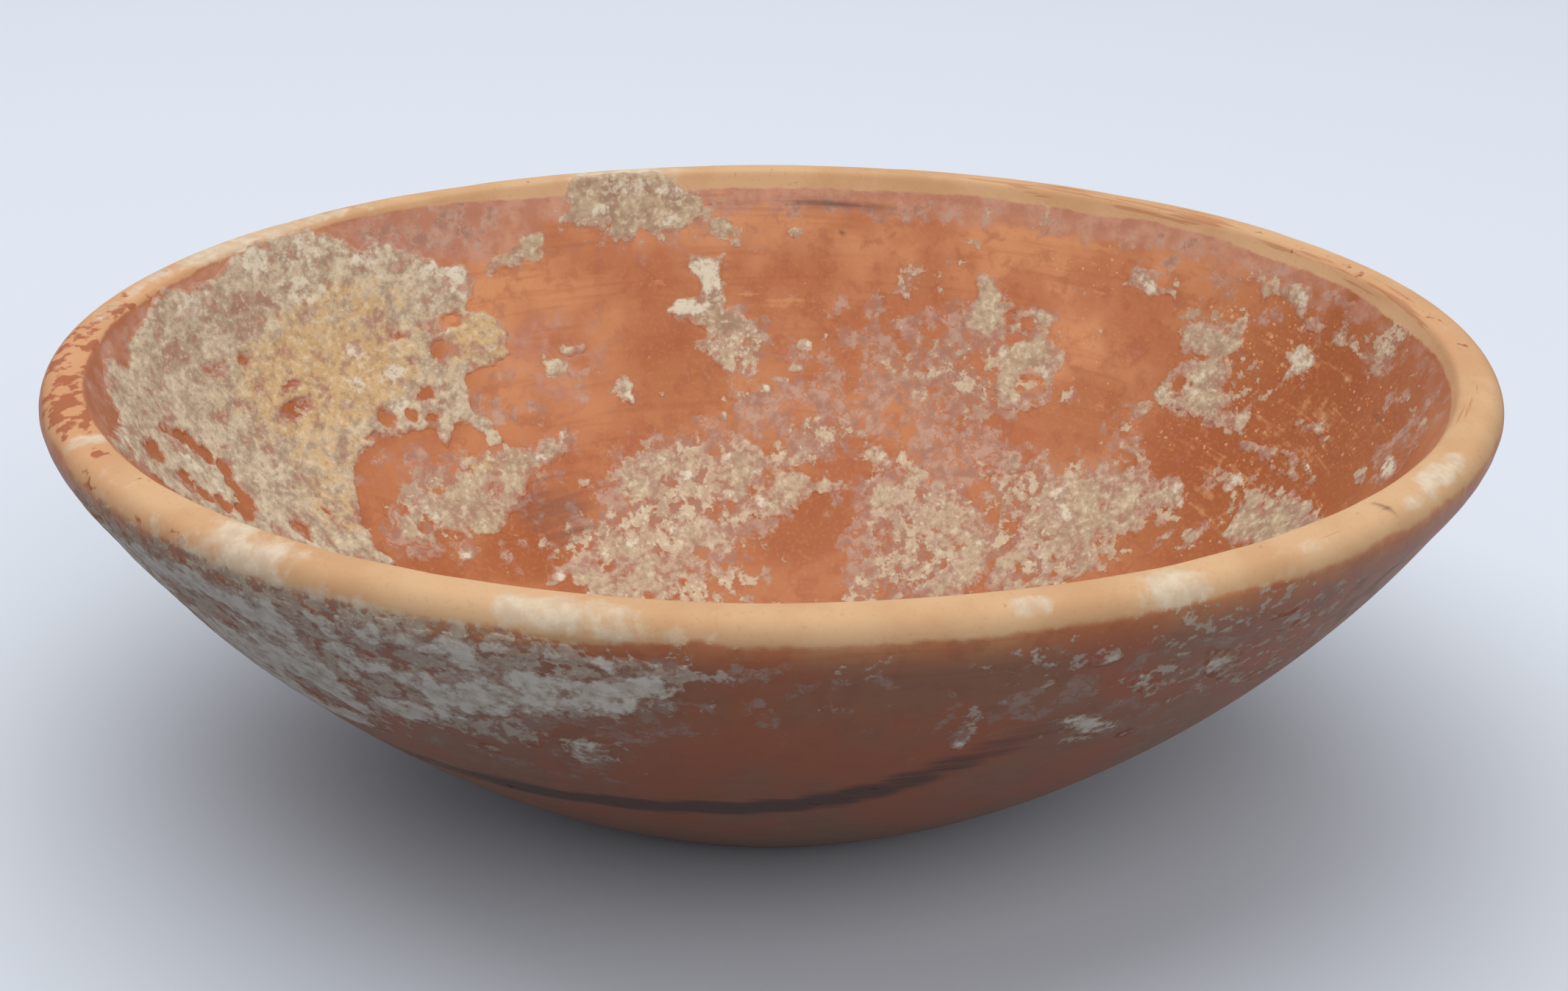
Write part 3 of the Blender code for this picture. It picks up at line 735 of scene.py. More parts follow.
note_flake(
    "crust_back_streak", thickness=0.23, lace=0.3, density=1.4,
    outline=[
        (99.6, 11.6), (97.4, 12.2), (95, 11.6), (95.6, 13.6), (95.8, 17), (95.4, 19.6), (93, 21.2),
        (92, 23), (94.4, 23.6), (96.4, 24.4), (98.6, 22.8), (100.8, 21), (103.2, 20), (101.4, 18.2),
        (98.4, 17.6), (98.6, 15.6), (99.8, 13.6),
    ],
    crumbs=[
        (90.8, 31.6, 0.8, 0.9), (88.8, 30.4, 1.3, 0.4), (85.8, 25.1, 1, 0.7), (97, 35.8, 0.8, 0.8),
        (87, 28.6, 0.8, 0.5), (96.6, 27, 1.4, 1.4), (92.8, 33, 0.6, 1.1),
    ],
    white=[
        (97.4, 14.6, 2.2, 4, 1), (100, 19.4, 3, 1.4, 0.9), (90.8, 31.6, 1, 1, 1), (85.8, 25, 1.2, 1, 0.8),
    ],
)
note_flake(
    "crust_back_right_wall", thickness=0.21, lace=0.65,
    outline=[
        (67.4, 13.6), (66, 12.6), (64.2, 12.8), (63.6, 14.6), (62.4, 16.2), (60.4, 16.8), (57.4, 16.6),
        (55.4, 17.4), (56.4, 19.6), (53.4, 20.6), (52.4, 23), (52, 27), (51, 28.6), (53.6, 31),
        (57, 31.2), (59.4, 29), (61, 25.6), (61.6, 22.8), (59.4, 21.4), (58.6, 20), (61.4, 20),
        (63.4, 22), (66, 20.8), (67.4, 19), (66, 16.4),
    ],
    holes=[(55.4, 27.8, 2, 1.3), (54, 29.2, 1.6, 0.8), (61.2, 18, 0.5, 1.2), (59.4, 18.6, 1, 0.6)],
    crumbs=[
        (71, 13.4, 0.4, 1.4), (74, 13.4, 1.6, 0.7), (74.4, 16.4, 0.8, 1.6), (76.8, 17, 1.4, 0.6),
        (49.2, 27.4, 0.6, 0.9),
    ],
    white=[
        (54.6, 25.2, 1.2, 1.3, 1), (61, 23.6, 1, 1.2, 0.7), (51.8, 28.4, 1, 0.8, 0.7),
        (66, 13.8, 1.2, 1, 0.4),
    ],
)
note_flake(
    "crust_back_right_spot", thickness=0.16, lace=0.35,
    outline=[
        (49.2, 8.4), (46.2, 8.2), (45.4, 9.8), (42.6, 9.8), (42.6, 10.8), (46, 11.7), (47.6, 11),
        (49.4, 11),
    ],
    white=[(46, 10, 3, 1.6, 0.7)],
)

# %% Crust on the right wall
note_flake(
    "crust_right_wall", thickness=0.19, lace=0.75,
    outline=[
        (33.6, 10.8), (32, 10.4), (30.8, 14.4), (31.4, 16.2), (29.2, 17.4), (29, 19.6), (26.4, 21.4),
        (25, 20.6), (24.2, 18.6), (22.2, 20.8), (21.8, 23), (23.4, 24.6), (28, 24.6), (34, 24.6),
        (38.6, 24.2), (38.4, 20.4), (38.2, 19), (35.2, 18.6), (34.8, 17), (38.6, 16.8), (40.6, 14.4),
        (38.6, 13.2), (36, 13.4), (34.2, 13),
    ],
    holes=[(35.6, 21, 0.7, 1.4), (25.6, 21.4, 0.8, 1)],
    crumbs=[
        (38.4, 26.6, 1.2, 1.9), (39, 29, 1.1, 1), (36.6, 30.6, 1.6, 0.8), (40.8, 26.6, 0.8, 0.5),
        (18.6, 24.2, 1.4, 0.5),
    ],
    white=[(33, 20, 4, 3, 0.5), (37, 22, 2, 2, 0.5)],
)
note_flake(
    "crust_right_spot", thickness=0.17, lace=0.45,
    outline=[
        (25.6, 12.4), (23.6, 11.8), (23.2, 10.6), (19.6, 10.5), (19.2, 12), (19.6, 13.6), (18.4, 14.5),
        (20.6, 14.6), (21.6, 15.9), (22.8, 15.6), (22.6, 14),
    ],
    white=[(21.4, 12.4, 2, 2, 0.7)],
)
note_flake(
    "crust_right_under_lip", thickness=0.15, lace=0.5,
    outline=[
        (27, 4), (25.8, 5.2), (25.6, 7), (22.6, 7.2), (20.6, 7), (21.4, 8.8), (24.4, 9.3), (27.4, 7),
        (30.2, 6.4), (31.4, 8), (32.8, 7.4), (33.8, 5.8), (36.4, 6.2), (35, 4.9), (31, 5),
    ],
    crumbs=[
        (15.8, 7.2, 1.3, 0.5), (13.2, 8, 1.2, 0.5), (14, 6, 0.5, 0.9), (18.6, 8.2, 0.9, 0.8),
        (9.4, 8, 1.6, 0.8),
    ],
    white=[(26, 5.4, 2, 1.4, 0.7), (22, 8, 2, 1, 0.6)],
)
note_flake(
    "crust_far_right_upper", thickness=0.16, lace=0.5,
    outline=[
        (19, 24.3), (15, 22.6), (10.4, 21.2), (6, 21), (1.6, 21.2), (1.4, 22.4), (6, 23.7), (11, 24.8),
        (15.6, 24.2),
    ],
    holes=[(11, 23.4, 1.8, 0.7), (6, 22.3, 1.2, 0.4)],
    white=[(9, 22, 6, 1.2, 0.5)],
)
note_flake(
    "crust_far_right_lower", thickness=0.19, lace=0.7,
    outline=[
        (12.6, 28), (10.4, 27.2), (8, 26.2), (5.6, 25.8), (4.4, 24.4), (-2, 23), (-8, 22), (-9.6, 24),
        (-7, 28), (-2, 31.6), (3, 33.6), (7.4, 34), (8.8, 31.8), (10.8, 29.4),
    ],
    holes=[(6.2, 26.6, 1, 1)],
    crumbs=[
        (15.4, 28.8, 2.8, 1.1), (12.2, 36.6, 1.4, 1.8), (16.6, 38.2, 0.8, 1.4), (19.6, 30.6, 0.9, 0.5),
    ],
    white=[(14, 28.4, 3, 1, 0.6), (2, 25, 5, 1.4, 0.4)],
)
note_flake(
    "crust_far_right_streak", thickness=0.16, lace=0.35,
    outline=[
        (16, 18.6), (14, 17.6), (11.4, 16.8), (9, 16.4), (7, 17.4), (6, 18.8), (8.6, 18.9), (11, 18.2),
        (14.6, 19.5),
    ],
    white=[(9, 17.6, 3, 1, 0.6)],
)
note_flake(
    "crust_front_right_upper", thickness=0.16, lace=0.3,
    outline=[
        (-6.8, 12.6), (-8.6, 11.2), (-11, 10.6), (-13.6, 11), (-14.6, 12.6), (-12, 13.8), (-9, 13.6),
    ],
    white=[(-10.6, 12.2, 3.4, 1.4, 0.9)],
)
note_flake(
    "crust_front_right_lower", thickness=0.16, lace=0.3,
    outline=[(-3.2, 16), (-5, 15), (-7.6, 15.2), (-8.4, 16.6), (-6.4, 17.6), (-4, 17.4)],
)

# %% [markdown]
# The lime on the floor is thin and torn to lace, so these patches have a low density.

# %% Crust on the floor
note_flake(
    "crust_floor_back_left", thickness=0.2, lace=1, density=0.82,
    outline=[
        (116, 42.2), (112, 40.4), (108.4, 39.6), (104, 40), (100, 41.2), (97.4, 40.2), (95, 38.6),
        (92.6, 40.8), (90.2, 42.4), (91, 45.4), (93, 47.6), (96, 48.8), (101, 49), (106, 48.4),
        (111.5, 48.8), (115, 46.4),
    ],
    holes=[(101.6, 44.6, 1.3, 1.9), (98.6, 46.2, 1, 0.8), (107, 45.6, 1, 0.8)],
    white=[
        (104.4, 44.6, 1.5, 0.8, 1), (97.6, 41.8, 1.3, 1, 0.9), (92.4, 45, 1.5, 0.7, 0.9),
        (112.6, 43.8, 1.1, 0.7, 0.8), (97.4, 47.6, 1.3, 0.7, 0.8), (107.6, 42, 1.3, 0.7, 0.7),
    ],
)
note_flake(
    "crust_floor_left", thickness=0.2, lace=1.05, density=0.7,
    outline=[
        (137, 55), (131, 53.4), (124, 52.2), (117.5, 51.6), (112, 51.4), (104.4, 50.6), (98.6, 52.6),
        (97.2, 55.4), (99, 58), (104, 60.6), (111, 62), (119, 63), (127, 62.6), (133, 60.6), (137, 58),
    ],
    holes=[(113, 54.6, 2, 0.8), (127, 56.6, 2.4, 0.9), (104, 57, 2, 1)],
    crumbs=[(139.6, 55.8, 3.2, 1.2)],
    white=[
        (119, 53.4, 2, 0.8, 0.9), (109, 52.6, 2, 0.8, 0.9), (126, 55, 2, 0.8, 0.7),
        (101, 54, 1.6, 0.8, 0.7), (139.6, 55.8, 3.4, 1.2, 1),
    ],
)
note_flake(
    "crust_floor_back", thickness=0.19, lace=0.75, density=0.82,
    outline=[
        (90.4, 42.6), (87.4, 41.2), (84, 40.4), (82.4, 37.6), (80, 38.2), (79.4, 40.4), (83, 42),
        (85.6, 43), (82, 44.8), (77.4, 45.8), (77.6, 47.4), (82.4, 47.8), (84.4, 50), (86, 52.4),
        (88.6, 51), (93.6, 51.4), (95.6, 49.8), (92.4, 47.8), (89.6, 46),
    ],
    white=[
        (88.4, 42, 1.4, 0.6, 0.9), (92.4, 49.4, 2.6, 0.9, 0.8), (78.6, 46.6, 1.4, 0.6, 0.7),
        (82, 39.6, 1.4, 1, 0.6),
    ],
)
note_flake(
    "crust_floor_back_right", thickness=0.2, lace=0.95, density=0.6,
    outline=[
        (76, 40.6), (72.6, 38.8), (70.4, 41.2), (66.4, 41.4), (62.6, 43.4), (58, 45), (53, 46),
        (50.2, 49), (51, 53), (55, 55.2), (59.6, 53), (63, 49.4), (66.4, 48.6), (68.2, 52), (67, 56.4),
        (71, 56), (72, 50.4), (74.6, 46.4), (73.6, 43), (74, 41.8),
    ],
    holes=[(69.6, 43.6, 1.6, 1.2), (64, 46, 0.9, 0.7)],
    crumbs=[(56.6, 39.6, 1.4, 0.6), (55, 41.2, 1.6, 0.6), (50.6, 44.2, 1.2, 0.4), (58, 42.8, 1, 0.5)],
    white=[
        (67, 45.5, 1.9, 1, 1), (71.6, 41.2, 1.6, 1.2, 0.8), (73, 44.8, 0.8, 1.4, 0.8),
        (56, 40, 2, 1, 0.6),
    ],
)
note_flake(
    "crust_floor_right_spot", thickness=0.17, lace=0.5,
    outline=[
        (56, 40.6), (53.4, 37), (51.6, 37), (50, 38.4), (47.8, 35), (46, 35.4), (47.8, 38.2), (50, 39.8),
        (54, 41.6),
    ],
    white=[(48.4, 37, 1.2, 1.2, 0.6)],
)
note_flake(
    "crust_floor_right", thickness=0.21, lace=0.95, density=0.82,
    outline=[
        (46.8, 38.2), (43.6, 38.6), (40.6, 37), (38.8, 34.4), (36.6, 34.2), (34.4, 35), (33.4, 31.4),
        (31, 32.6), (28, 34.6), (25.4, 32.2), (22, 32), (18.4, 34.2), (20.4, 36.4), (23.4, 37.6),
        (21.2, 40.4), (25, 42.4), (28.6, 43), (26.4, 45.6), (21.4, 46.6), (22, 49.4), (27, 52.6),
        (33, 56), (39, 56.2), (42.4, 53.2), (41.4, 50.4), (44, 48.2), (47.2, 45.4), (43.8, 43),
        (44.6, 40.4),
    ],
    holes=[(38, 47, 1.7, 0.9), (31, 49.6, 3, 0.7), (34, 52.2, 3, 1.6), (35, 32.8, 1.2, 1.2)],
    crumbs=[(24.6, 43.4, 2.4, 0.5), (20, 37.6, 1.8, 1)],
    white=[
        (42.6, 40.6, 3, 1.4, 0.9), (38, 43, 2.4, 1.4, 0.8), (24, 33.6, 3, 1.4, 0.4), (30, 38, 5, 2, 0.4),
    ],
)
note_flake(
    "crust_floor_right_low", thickness=0.19, lace=0.9, density=0.82,
    outline=[
        (51, 49), (46.8, 48.8), (44, 52), (41, 56), (42, 59.6), (46.5, 61.6), (52, 60.6), (51.6, 55),
    ],
    white=[(47, 51, 2, 1, 0.5)],
)

# %% [markdown]
# The wall behind the near lip can't be seen, so its patches are guessed from those that show.

# %% Crust behind the near lip, guessed
note_flake(
    "crust_front_wall_left", thickness=0.2, lace=1.4, density=0.95,
    outline=[
        (216, 14), (223, 10), (231, 11), (239, 8.6), (246, 12), (244, 19), (249, 25), (243, 31),
        (235, 28), (228, 33), (220, 29), (217, 21),
    ],
    holes=[(223, 24, 1.6, 1.4), (240, 15, 1.4, 1), (232, 17.5, 2.2, 1.8)],
    crumbs=[(252, 17, 1.2, 1), (232, 36, 2, 1.2), (213, 20, 1.4, 1.6)],
    ochre=[(228, 20, 9, 8, 0.5)],
    white=[(240, 12, 2, 1.4, 0.7)],
)
note_flake(
    "crust_front_wall_right", thickness=0.19, lace=1.7, density=0.85,
    outline=[
        (292, 22), (298, 17), (306, 19), (313, 15), (320, 20), (317, 28), (321, 36), (312, 39), (304, 34),
        (296, 31),
    ],
    holes=[(300, 22, 1.6, 1.2), (308.5, 28, 3.2, 2.6), (316, 21, 1.6, 1.6)],
    crumbs=[(324, 24, 1.2, 1), (288, 28, 1.4, 1.4), (300, 38, 2, 1.2), (309, 12, 1, 0.8)],
    white=[(314, 18, 2, 1.4, 0.6)],
)
note_flake(
    "crust_floor_front", thickness=0.2, lace=1.6, density=0.8,
    outline=[
        (198, 64), (214, 59), (232, 61), (248, 56), (264, 59), (281, 55), (298, 59), (314, 65), (302, 73),
        (282, 71), (262, 75), (240, 72), (218, 75), (203, 71),
    ],
    holes=[(234, 66, 9, 2.4), (258, 60.5, 7, 1.8), (284, 67, 10, 2.6)],
)

# %% [markdown]
# The patches outside are thinner still: two dusty ones on the left, a few faint ones in front and on
# the right, and three that can't be seen and are guessed. What is alike in them is noted once. Their
# distances are measured down from the outer edge of the lip.

# %% Crust on the outside
dusty = {"outside": True, "thickness": 0.15, "edge": 1.2}
faint = {"outside": True, "thickness": 0.09, "edge": 1.4, "density": 0.95}
unseen = {"outside": True, "thickness": 0.18, "edge": 1.2, "lace": 1.5}
note_flake(
    "crust_outside_left_front", lace=0.7, **dusty,
    outline=[
        (264.4, 6.6), (264, 12), (260, 15.6), (253.5, 17.4), (248, 20), (243, 23.5), (239, 26),
        (236.4, 25), (236, 20), (236.2, 13), (237, 6), (246, 4.9), (255, 4.6),
    ],
    holes=[(244, 11, 3, 1.2), (256, 8, 2.4, 1), (240, 18, 1.6, 1.4)],
)
note_flake(
    "crust_outside_left_back", lace=0.8, **dusty,
    outline=[
        (236, 8), (235.4, 14), (235, 22), (235, 30), (230, 33.5), (222, 35), (214, 32), (208, 26),
        (203, 19), (202, 13), (207, 7.6), (216, 5.4), (226, 5), (235.6, 6),
    ],
    holes=[(222, 14, 4, 2), (212, 20, 3, 2), (228, 26, 2, 2)],
)
note_flake(
    "crust_outside_front_spot", thickness=0.1, edge=1.4, lace=0.6, density=0.9, outside=True,
    outline=[(258, 22.5), (255.5, 21.4), (253, 23), (252.8, 26), (254.6, 28.4), (256.6, 26)],
    crumbs=[(246, 27.5, 1.4, 1.6), (251, 24, 0.8, 1.4)],
)
note_flake(
    "crust_outside_right_lower", lace=0.6, **faint,
    outline=[(291.5, 20), (294, 19), (297.4, 21.8), (299.8, 25.2), (297, 25.8), (293.5, 23.6)],
    crumbs=[(284.6, 21, 1, 2.4), (301.6, 27.6, 0.8, 0.8)],
)
note_flake(
    "crust_outside_right_upper", lace=0.5, **faint,
    outline=[(296.6, 12.4), (299, 13.6), (300.6, 17), (298.8, 18), (296.8, 15.4)],
    crumbs=[(293, 9.4, 1.4, 1), (289.6, 12, 0.8, 1.4)],
)
note_flake(
    "crust_outside_right_side", lace=0.6, **faint,
    outline=[(302.6, 12), (305.4, 13.2), (308.6, 17), (311, 21), (307.6, 20.6), (304, 16.6)],
    crumbs=[(312, 12, 2, 1), (308, 9, 1.4, 0.8), (314, 23, 1.6, 1)],
)
note_flake(
    "crust_outside_far_right", **unseen,
    outline=[
        (8, 13), (16, 9.6), (27, 11), (35, 15), (33, 21), (38, 27), (30, 31), (21, 27), (13, 29), (7, 21),
    ],
    holes=[(14, 23, 3, 2), (33, 18, 2, 1.4)],
    crumbs=[(3, 24, 1.4, 1.4), (42, 20, 1.6, 1.2), (24, 34, 2, 1.2), (38, 10, 1.4, 0.8)],
)
note_flake(
    "crust_outside_back", **unseen,
    outline=[
        (108, 16), (102, 12), (93, 13.4), (84, 11.6), (76, 16), (73, 23), (79, 28), (87, 26), (94, 32),
        (101, 29), (105, 23),
    ],
    holes=[(97, 26, 3, 2), (82, 17, 2, 1.4)],
    crumbs=[(113, 24, 1.6, 1.4), (69, 16, 1.4, 1), (85, 32, 2, 1.2), (96, 8.6, 1.6, 0.8)],
)
note_flake(
    "crust_outside_back_left", **unseen,
    outline=[(168, 14), (161, 11), (152, 13), (146, 18), (149, 25), (156, 23), (163, 28), (169, 22)],
    holes=[(152, 20, 1.4, 1.2)],
    crumbs=[(142, 16, 1.4, 1.2), (157, 31, 2, 1.2), (173, 19, 1.2, 1.4)],
)
print(len(flakes), "flakes to make")

# %% [markdown]
# ## How deep inside a patch
# The one number that everything else about a patch follows from is how far a place lies inside its
# edge, in millimetres. The flake's height comes from it, and so does the haze on the slip around.
# The distance to an outline is the distance to its nearest side, and a place is inside where a line
# drawn from it crosses the outline an odd number of times.

# %% Depth inside an outline or an oval
def depth_inside(across, down, outline):
    """How far each place lies inside a closed outline, and below zero outside it."""
    nearest = np.full(len(across), np.inf)
    within = np.zeros(len(across), bool)
    for (x1, y1), (x2, y2) in zip(outline, np.roll(outline, -1, axis=0)):
        length = (x2 - x1) ** 2 + (y2 - y1) ** 2 + 1e-12
        share = np.clip(((across - x1) * (x2 - x1) + (down - y1) * (y2 - y1)) / length, 0, 1)
        gap = np.hypot(across - x1 - share * (x2 - x1), down - y1 - share * (y2 - y1))
        nearest = np.minimum(nearest, gap)
        if y1 != y2:
            crosses = (y1 > down) != (y2 > down)
            within ^= crosses & (across < x1 + (down - y1) * (x2 - x1) / (y2 - y1))
    return np.where(within, nearest, -nearest)


def oval_depth(azimuth, down, oval, degree):
    """The same for an oval of azimuth, distance down, half width and half height."""
    middle_azimuth, middle_down, half_width, half_height = oval
    across = turn_from(azimuth, middle_azimuth) / half_width
    along = (down - middle_down) / half_height
    return (1 - np.hypot(across, along)) * min(half_width * degree, half_height)


# %% [markdown]
# An outline is drawn in degrees and millimetres, so it is first unrolled: its degrees are turned
# into millimetres at the middle of the patch, and its azimuths are counted from there, because 359
# degrees is next to 0.

# %% Depth inside a patch
FULL_DEPTH = 0.6


def extent(recipe):
    """The lowest and highest azimuth and distance down that a patch reaches."""
    corners = [recipe["outline"]]
    for a, d, w, h in recipe["crumbs"]:
        corners.append([(a - w, d - h), (a + w, d + h)])
    corners = np.concatenate(corners)
    return corners.min(axis=0), corners.max(axis=0)


def degree_at(recipe):
    """The length of one degree round the bowl at the middle of a patch, in millimetres."""
    low, high = extent(recipe)
    middle = (low[1] + high[1]) / 2
    return math.radians(radius_at(other_side(middle) if recipe["outside"] else middle))


def patch_depth(recipe, azimuth, down):
    """How far each place lies inside a patch with its crumbs and holes, before it is torn."""
    low, high = extent(recipe)
    degree = degree_at(recipe)
    middle = (low[0] + high[0]) / 2
    unrolled = middle + turn_from(azimuth, middle)
    outline = np.array(recipe["outline"], float) * [degree, 1]
    depth = depth_inside(unrolled * degree, down, outline)
    for oval in recipe["crumbs"]:
        depth = np.maximum(depth, oval_depth(azimuth, down, oval, degree))
    for oval in recipe["holes"]:
        depth = np.minimum(depth, -oval_depth(azimuth, down, oval, degree))
    return depth


def near_lime(azimuth, down, reach):
    """1 on a patch of lime, falling to 0 at this many millimetres from it."""
    near = np.zeros(len(azimuth))
    for recipe in flakes.values():
        side_down = other_side(down) if recipe["outside"] else down
        low, high = extent(recipe)
        margin = reach / degree_at(recipe)
        aside = np.abs(turn_from(azimuth, (low[0] + high[0]) / 2)) - (high[0] - low[0]) / 2
        close = (aside < margin) & (side_down > low[1] - reach) & (side_down < high[1] + reach)
        depth = patch_depth(recipe, azimuth[close], side_down[close])
        near[close] = np.maximum(near[close], soft_step(depth, -reach, FULL_DEPTH))
    return near


left_low, left_high = extent(flakes["crust_left_wall"])
left_width = (left_high[0] - left_low[0]) * degree_at(flakes["crust_left_wall"])
print("the left patch is", round(left_width), "by", round(left_high[1] - left_low[1]), "mm")

# %% [markdown]
# ## The fired body
# A turned body is usually a Screw modifier, but then every point of a ring is alike. Here each point
# is placed by the wall's own function, in rings from the middle of the floor to the middle of the
# foot, so that the dents are real and each point can carry its paint. The rings lie closer on the
# lip, where the outline shows.

# %% Rings of the body
COLUMNS = 480
INSIDE_RINGS, LIP_RINGS, OUTSIDE_RINGS, FOOT_RINGS = 88, 24, 58, 5
LIP_SHARE_DOWN = 4.0
POLE_RADIUS = 1.0
FOOT_STEP = 0.5

foot_pole_down = inside_length - line_run[-1]
foot_down = foot_pole_down + section[foot, 0]
lip_end = other_side(LIP_SHARE_DOWN)
rings_down = np.concatenate(
    [
        np.linspace(inside_length - POLE_RADIUS, LIP_SHARE_DOWN, INSIDE_RINGS, endpoint=False),
        np.linspace(LIP_SHARE_DOWN, lip_end, LIP_RINGS, endpoint=False),
        np.linspace(lip_end, foot_down + 2 * FOOT_STEP, OUTSIDE_RINGS),
        [foot_down + FOOT_STEP],
        np.linspace(foot_down, foot_pole_down + POLE_RADIUS, FOOT_RINGS),
    ]
)
columns_azimuth = np.arange(COLUMNS) * 360 / COLUMNS
azimuth, down = (grid.ravel() for grid in np.meshgrid(columns_azimuth, rings_down))
azimuth = np.concatenate([azimuth, [0, 0]])
down = np.concatenate([down, [inside_length, foot_pole_down]])
points, _ = wall(azimuth, down)
print(len(rings_down), "rings of", COLUMNS, "points")

# %% Body mesh
ring_count = len(rings_down)
floor_pole, foot_pole = ring_count * COLUMNS, ring_count * COLUMNS + 1
last_ring = floor_pole - COLUMNS
faces = []
for column in range(COLUMNS):
    following = (column + 1) % COLUMNS
    faces.append((floor_pole, column, following))
    faces.append((foot_pole, last_ring + following, last_ring + column))
    for start in range(0, last_ring, COLUMNS):
        below = start + COLUMNS
        faces.append((start + column, below + column, below + following, start + following))

body_mesh = bpy.data.meshes.new("fired_bowl")
body_mesh.from_pydata(points * MM, [], faces)
body_mesh.shade_smooth()
fired_bowl = bpy.data.objects.new("fired_bowl", body_mesh)
bpy.context.scene.collection.objects.link(fired_bowl)
print("body of", len(body_mesh.polygons), "faces")

# %% [markdown]
# ## The bowl's history, point by point
# Both the body and the flakes show slip, so one function works out what happened at each place and
# stores it as numbers on either mesh: where the lip is worn bare, how rosy the slip is below it,
# how near the lime is, and the marks above. The distance down is stored too, because the strokes of
# the burnishing pebble run round the bowl, and the material has to know which way that is.

# %% Painted numbers
WANDER_SIZE, WANDER_SEED = 6, 21
HAZE_REACH, FILM_REACH = 1.6, 0.9


def store(mesh, name, values):
    """Keeps one number for every point of a mesh."""
    layer = mesh.attributes.new(name, "FLOAT", "POINT")
    layer.data.foreach_set("value", np.asarray(values, np.float32))


def store_history(mesh, azimuth, down, points):
    """Works out what happened at each point of the wall, and stores it on the mesh."""
    outside_down = other_side(down)
    wander = rough_lumps(points, WANDER_SIZE, WANDER_SEED)
    inner_edge = round_the_bowl(slip_edge_inside, azimuth) + 0.25 * wander
    outer_edge = round_the_bowl(slip_edge_outside, azimuth) + 0.45 * wander
    bare = soft_step(inner_edge - down, -0.7, 0.7) * soft_step(outer_edge - outside_down, -1.2, 1.2)
    under_lip = soft_step(down, 0.5, 2) * (1 - soft_step(down + 1.2 * wander, 4, 8))
    haze = paint(haze_inside, azimuth, down), paint(haze_outside, azimuth, outside_down)
    film = paint(film_inside, azimuth, down), paint(film_outside, azimuth, outside_down)
    dark = paint(dark_inside, azimuth, down), paint(dark_outside, azimuth, outside_down)
    haze_at_lime = 0.5 * near_lime(azimuth, down, HAZE_REACH)
    film_at_lime = 0.6 * near_lime(azimuth, down, FILM_REACH)
    rosy = np.maximum(under_lip, paint(rosy_inside, azimuth, down))
    history = {
        "down": down,
        "bare": bare,
        "rosy": rosy * round_the_bowl(rosy_share, azimuth),
        "haze": np.maximum.reduce([*haze, haze_at_lime]),
        "film": np.maximum.reduce([*film, paint(film_lip, azimuth, down), film_at_lime]),
        "buff": paint(buff_inside, azimuth, down),
        "dark": np.maximum(*dark),
        "lip_spots": paint(lip_spots, azimuth, down),
        "lip_streaks": paint(lip_streaks, azimuth, down),
        "specks": 0.35 + paint(speck_marks, azimuth, down),
        # Painted shade: besides the deeper red marks, the slip darkens from 10 to 50 mm down, towards the
        # floor.
        "deep_red_and_floor_shade": np.maximum(paint(deep_inside, azimuth, down), soft_step(down, 10, 50) * 0.7),
        # The outside, where painted shade darkens the slip and painted cool light makes the haze, film
        # and lime paler and bluer.
        "outer": soft_step(outside_down, 2, 8),
        "foot_shade": soft_step(outside_down, 44, 60),
    }
    for name, values in history.items():
        store(mesh, name, values)


store_history(body_mesh, azimuth, down, points)
print("painted", len(body_mesh.attributes), "layers")

# %% [markdown]
# ## The burnished slip
# The slip is red clay rubbed with a pebble until it shone. Up close its colour drifts between
# orange and brick red, the pebble's strokes run round the bowl, and burial has veiled it. The
# recipe lays these over each other in stages, and each stage is a function, because the flakes need
# the same slip where they are thin. The stages share these noises. The strokes come from one that
# changes quickly down the wall and slowly round it.

# %% Grains of the slip
STROKE_LENGTH = 14.0


def slip_grains(tree, place):
    """The noises that the stages of the slip share, by name."""
    split = tree.nodes.new("ShaderNodeSeparateXYZ")
    feed(tree, split.inputs[0], place)
    stroke_place = add(
        tree,
        "ShaderNodeCombineXYZ",
        part_of(tree, painted(tree, "down"), MM),
        maths(tree, "DIVIDE", split.outputs["X"], STROKE_LENGTH),
        maths(tree, "DIVIDE", split.outputs["Y"], STROKE_LENGTH),
    )
    return {
        "strokes": grain(tree, 1.0, stroke_place, detail=3),
        "fine_strokes": grain(tree, 0.6, stroke_place, detail=3),
        "clouds": grain(tree, 11, place, detail=5),
        "mottle": grain(tree, 2.6, place, detail=5, roughness=0.6),
        "tatters": grain(tree, 3.0, place, detail=7, roughness=0.62),
        "lace": grain(tree, 1.6, place, detail=6, roughness=0.62),
        "spots": grain(tree, 1.9, place, detail=4),
        "grit": grain(tree, 0.5, place, detail=3),
    }


# %% [markdown]
# The first stage is the slip as it came from the fire: two reds in clouds, a deeper red in places,
# mottled, stroked, and rosy under the lip. On top of that lies painted shade: the slip darkens towards
# the floor, and is darker and browner all over the outside.

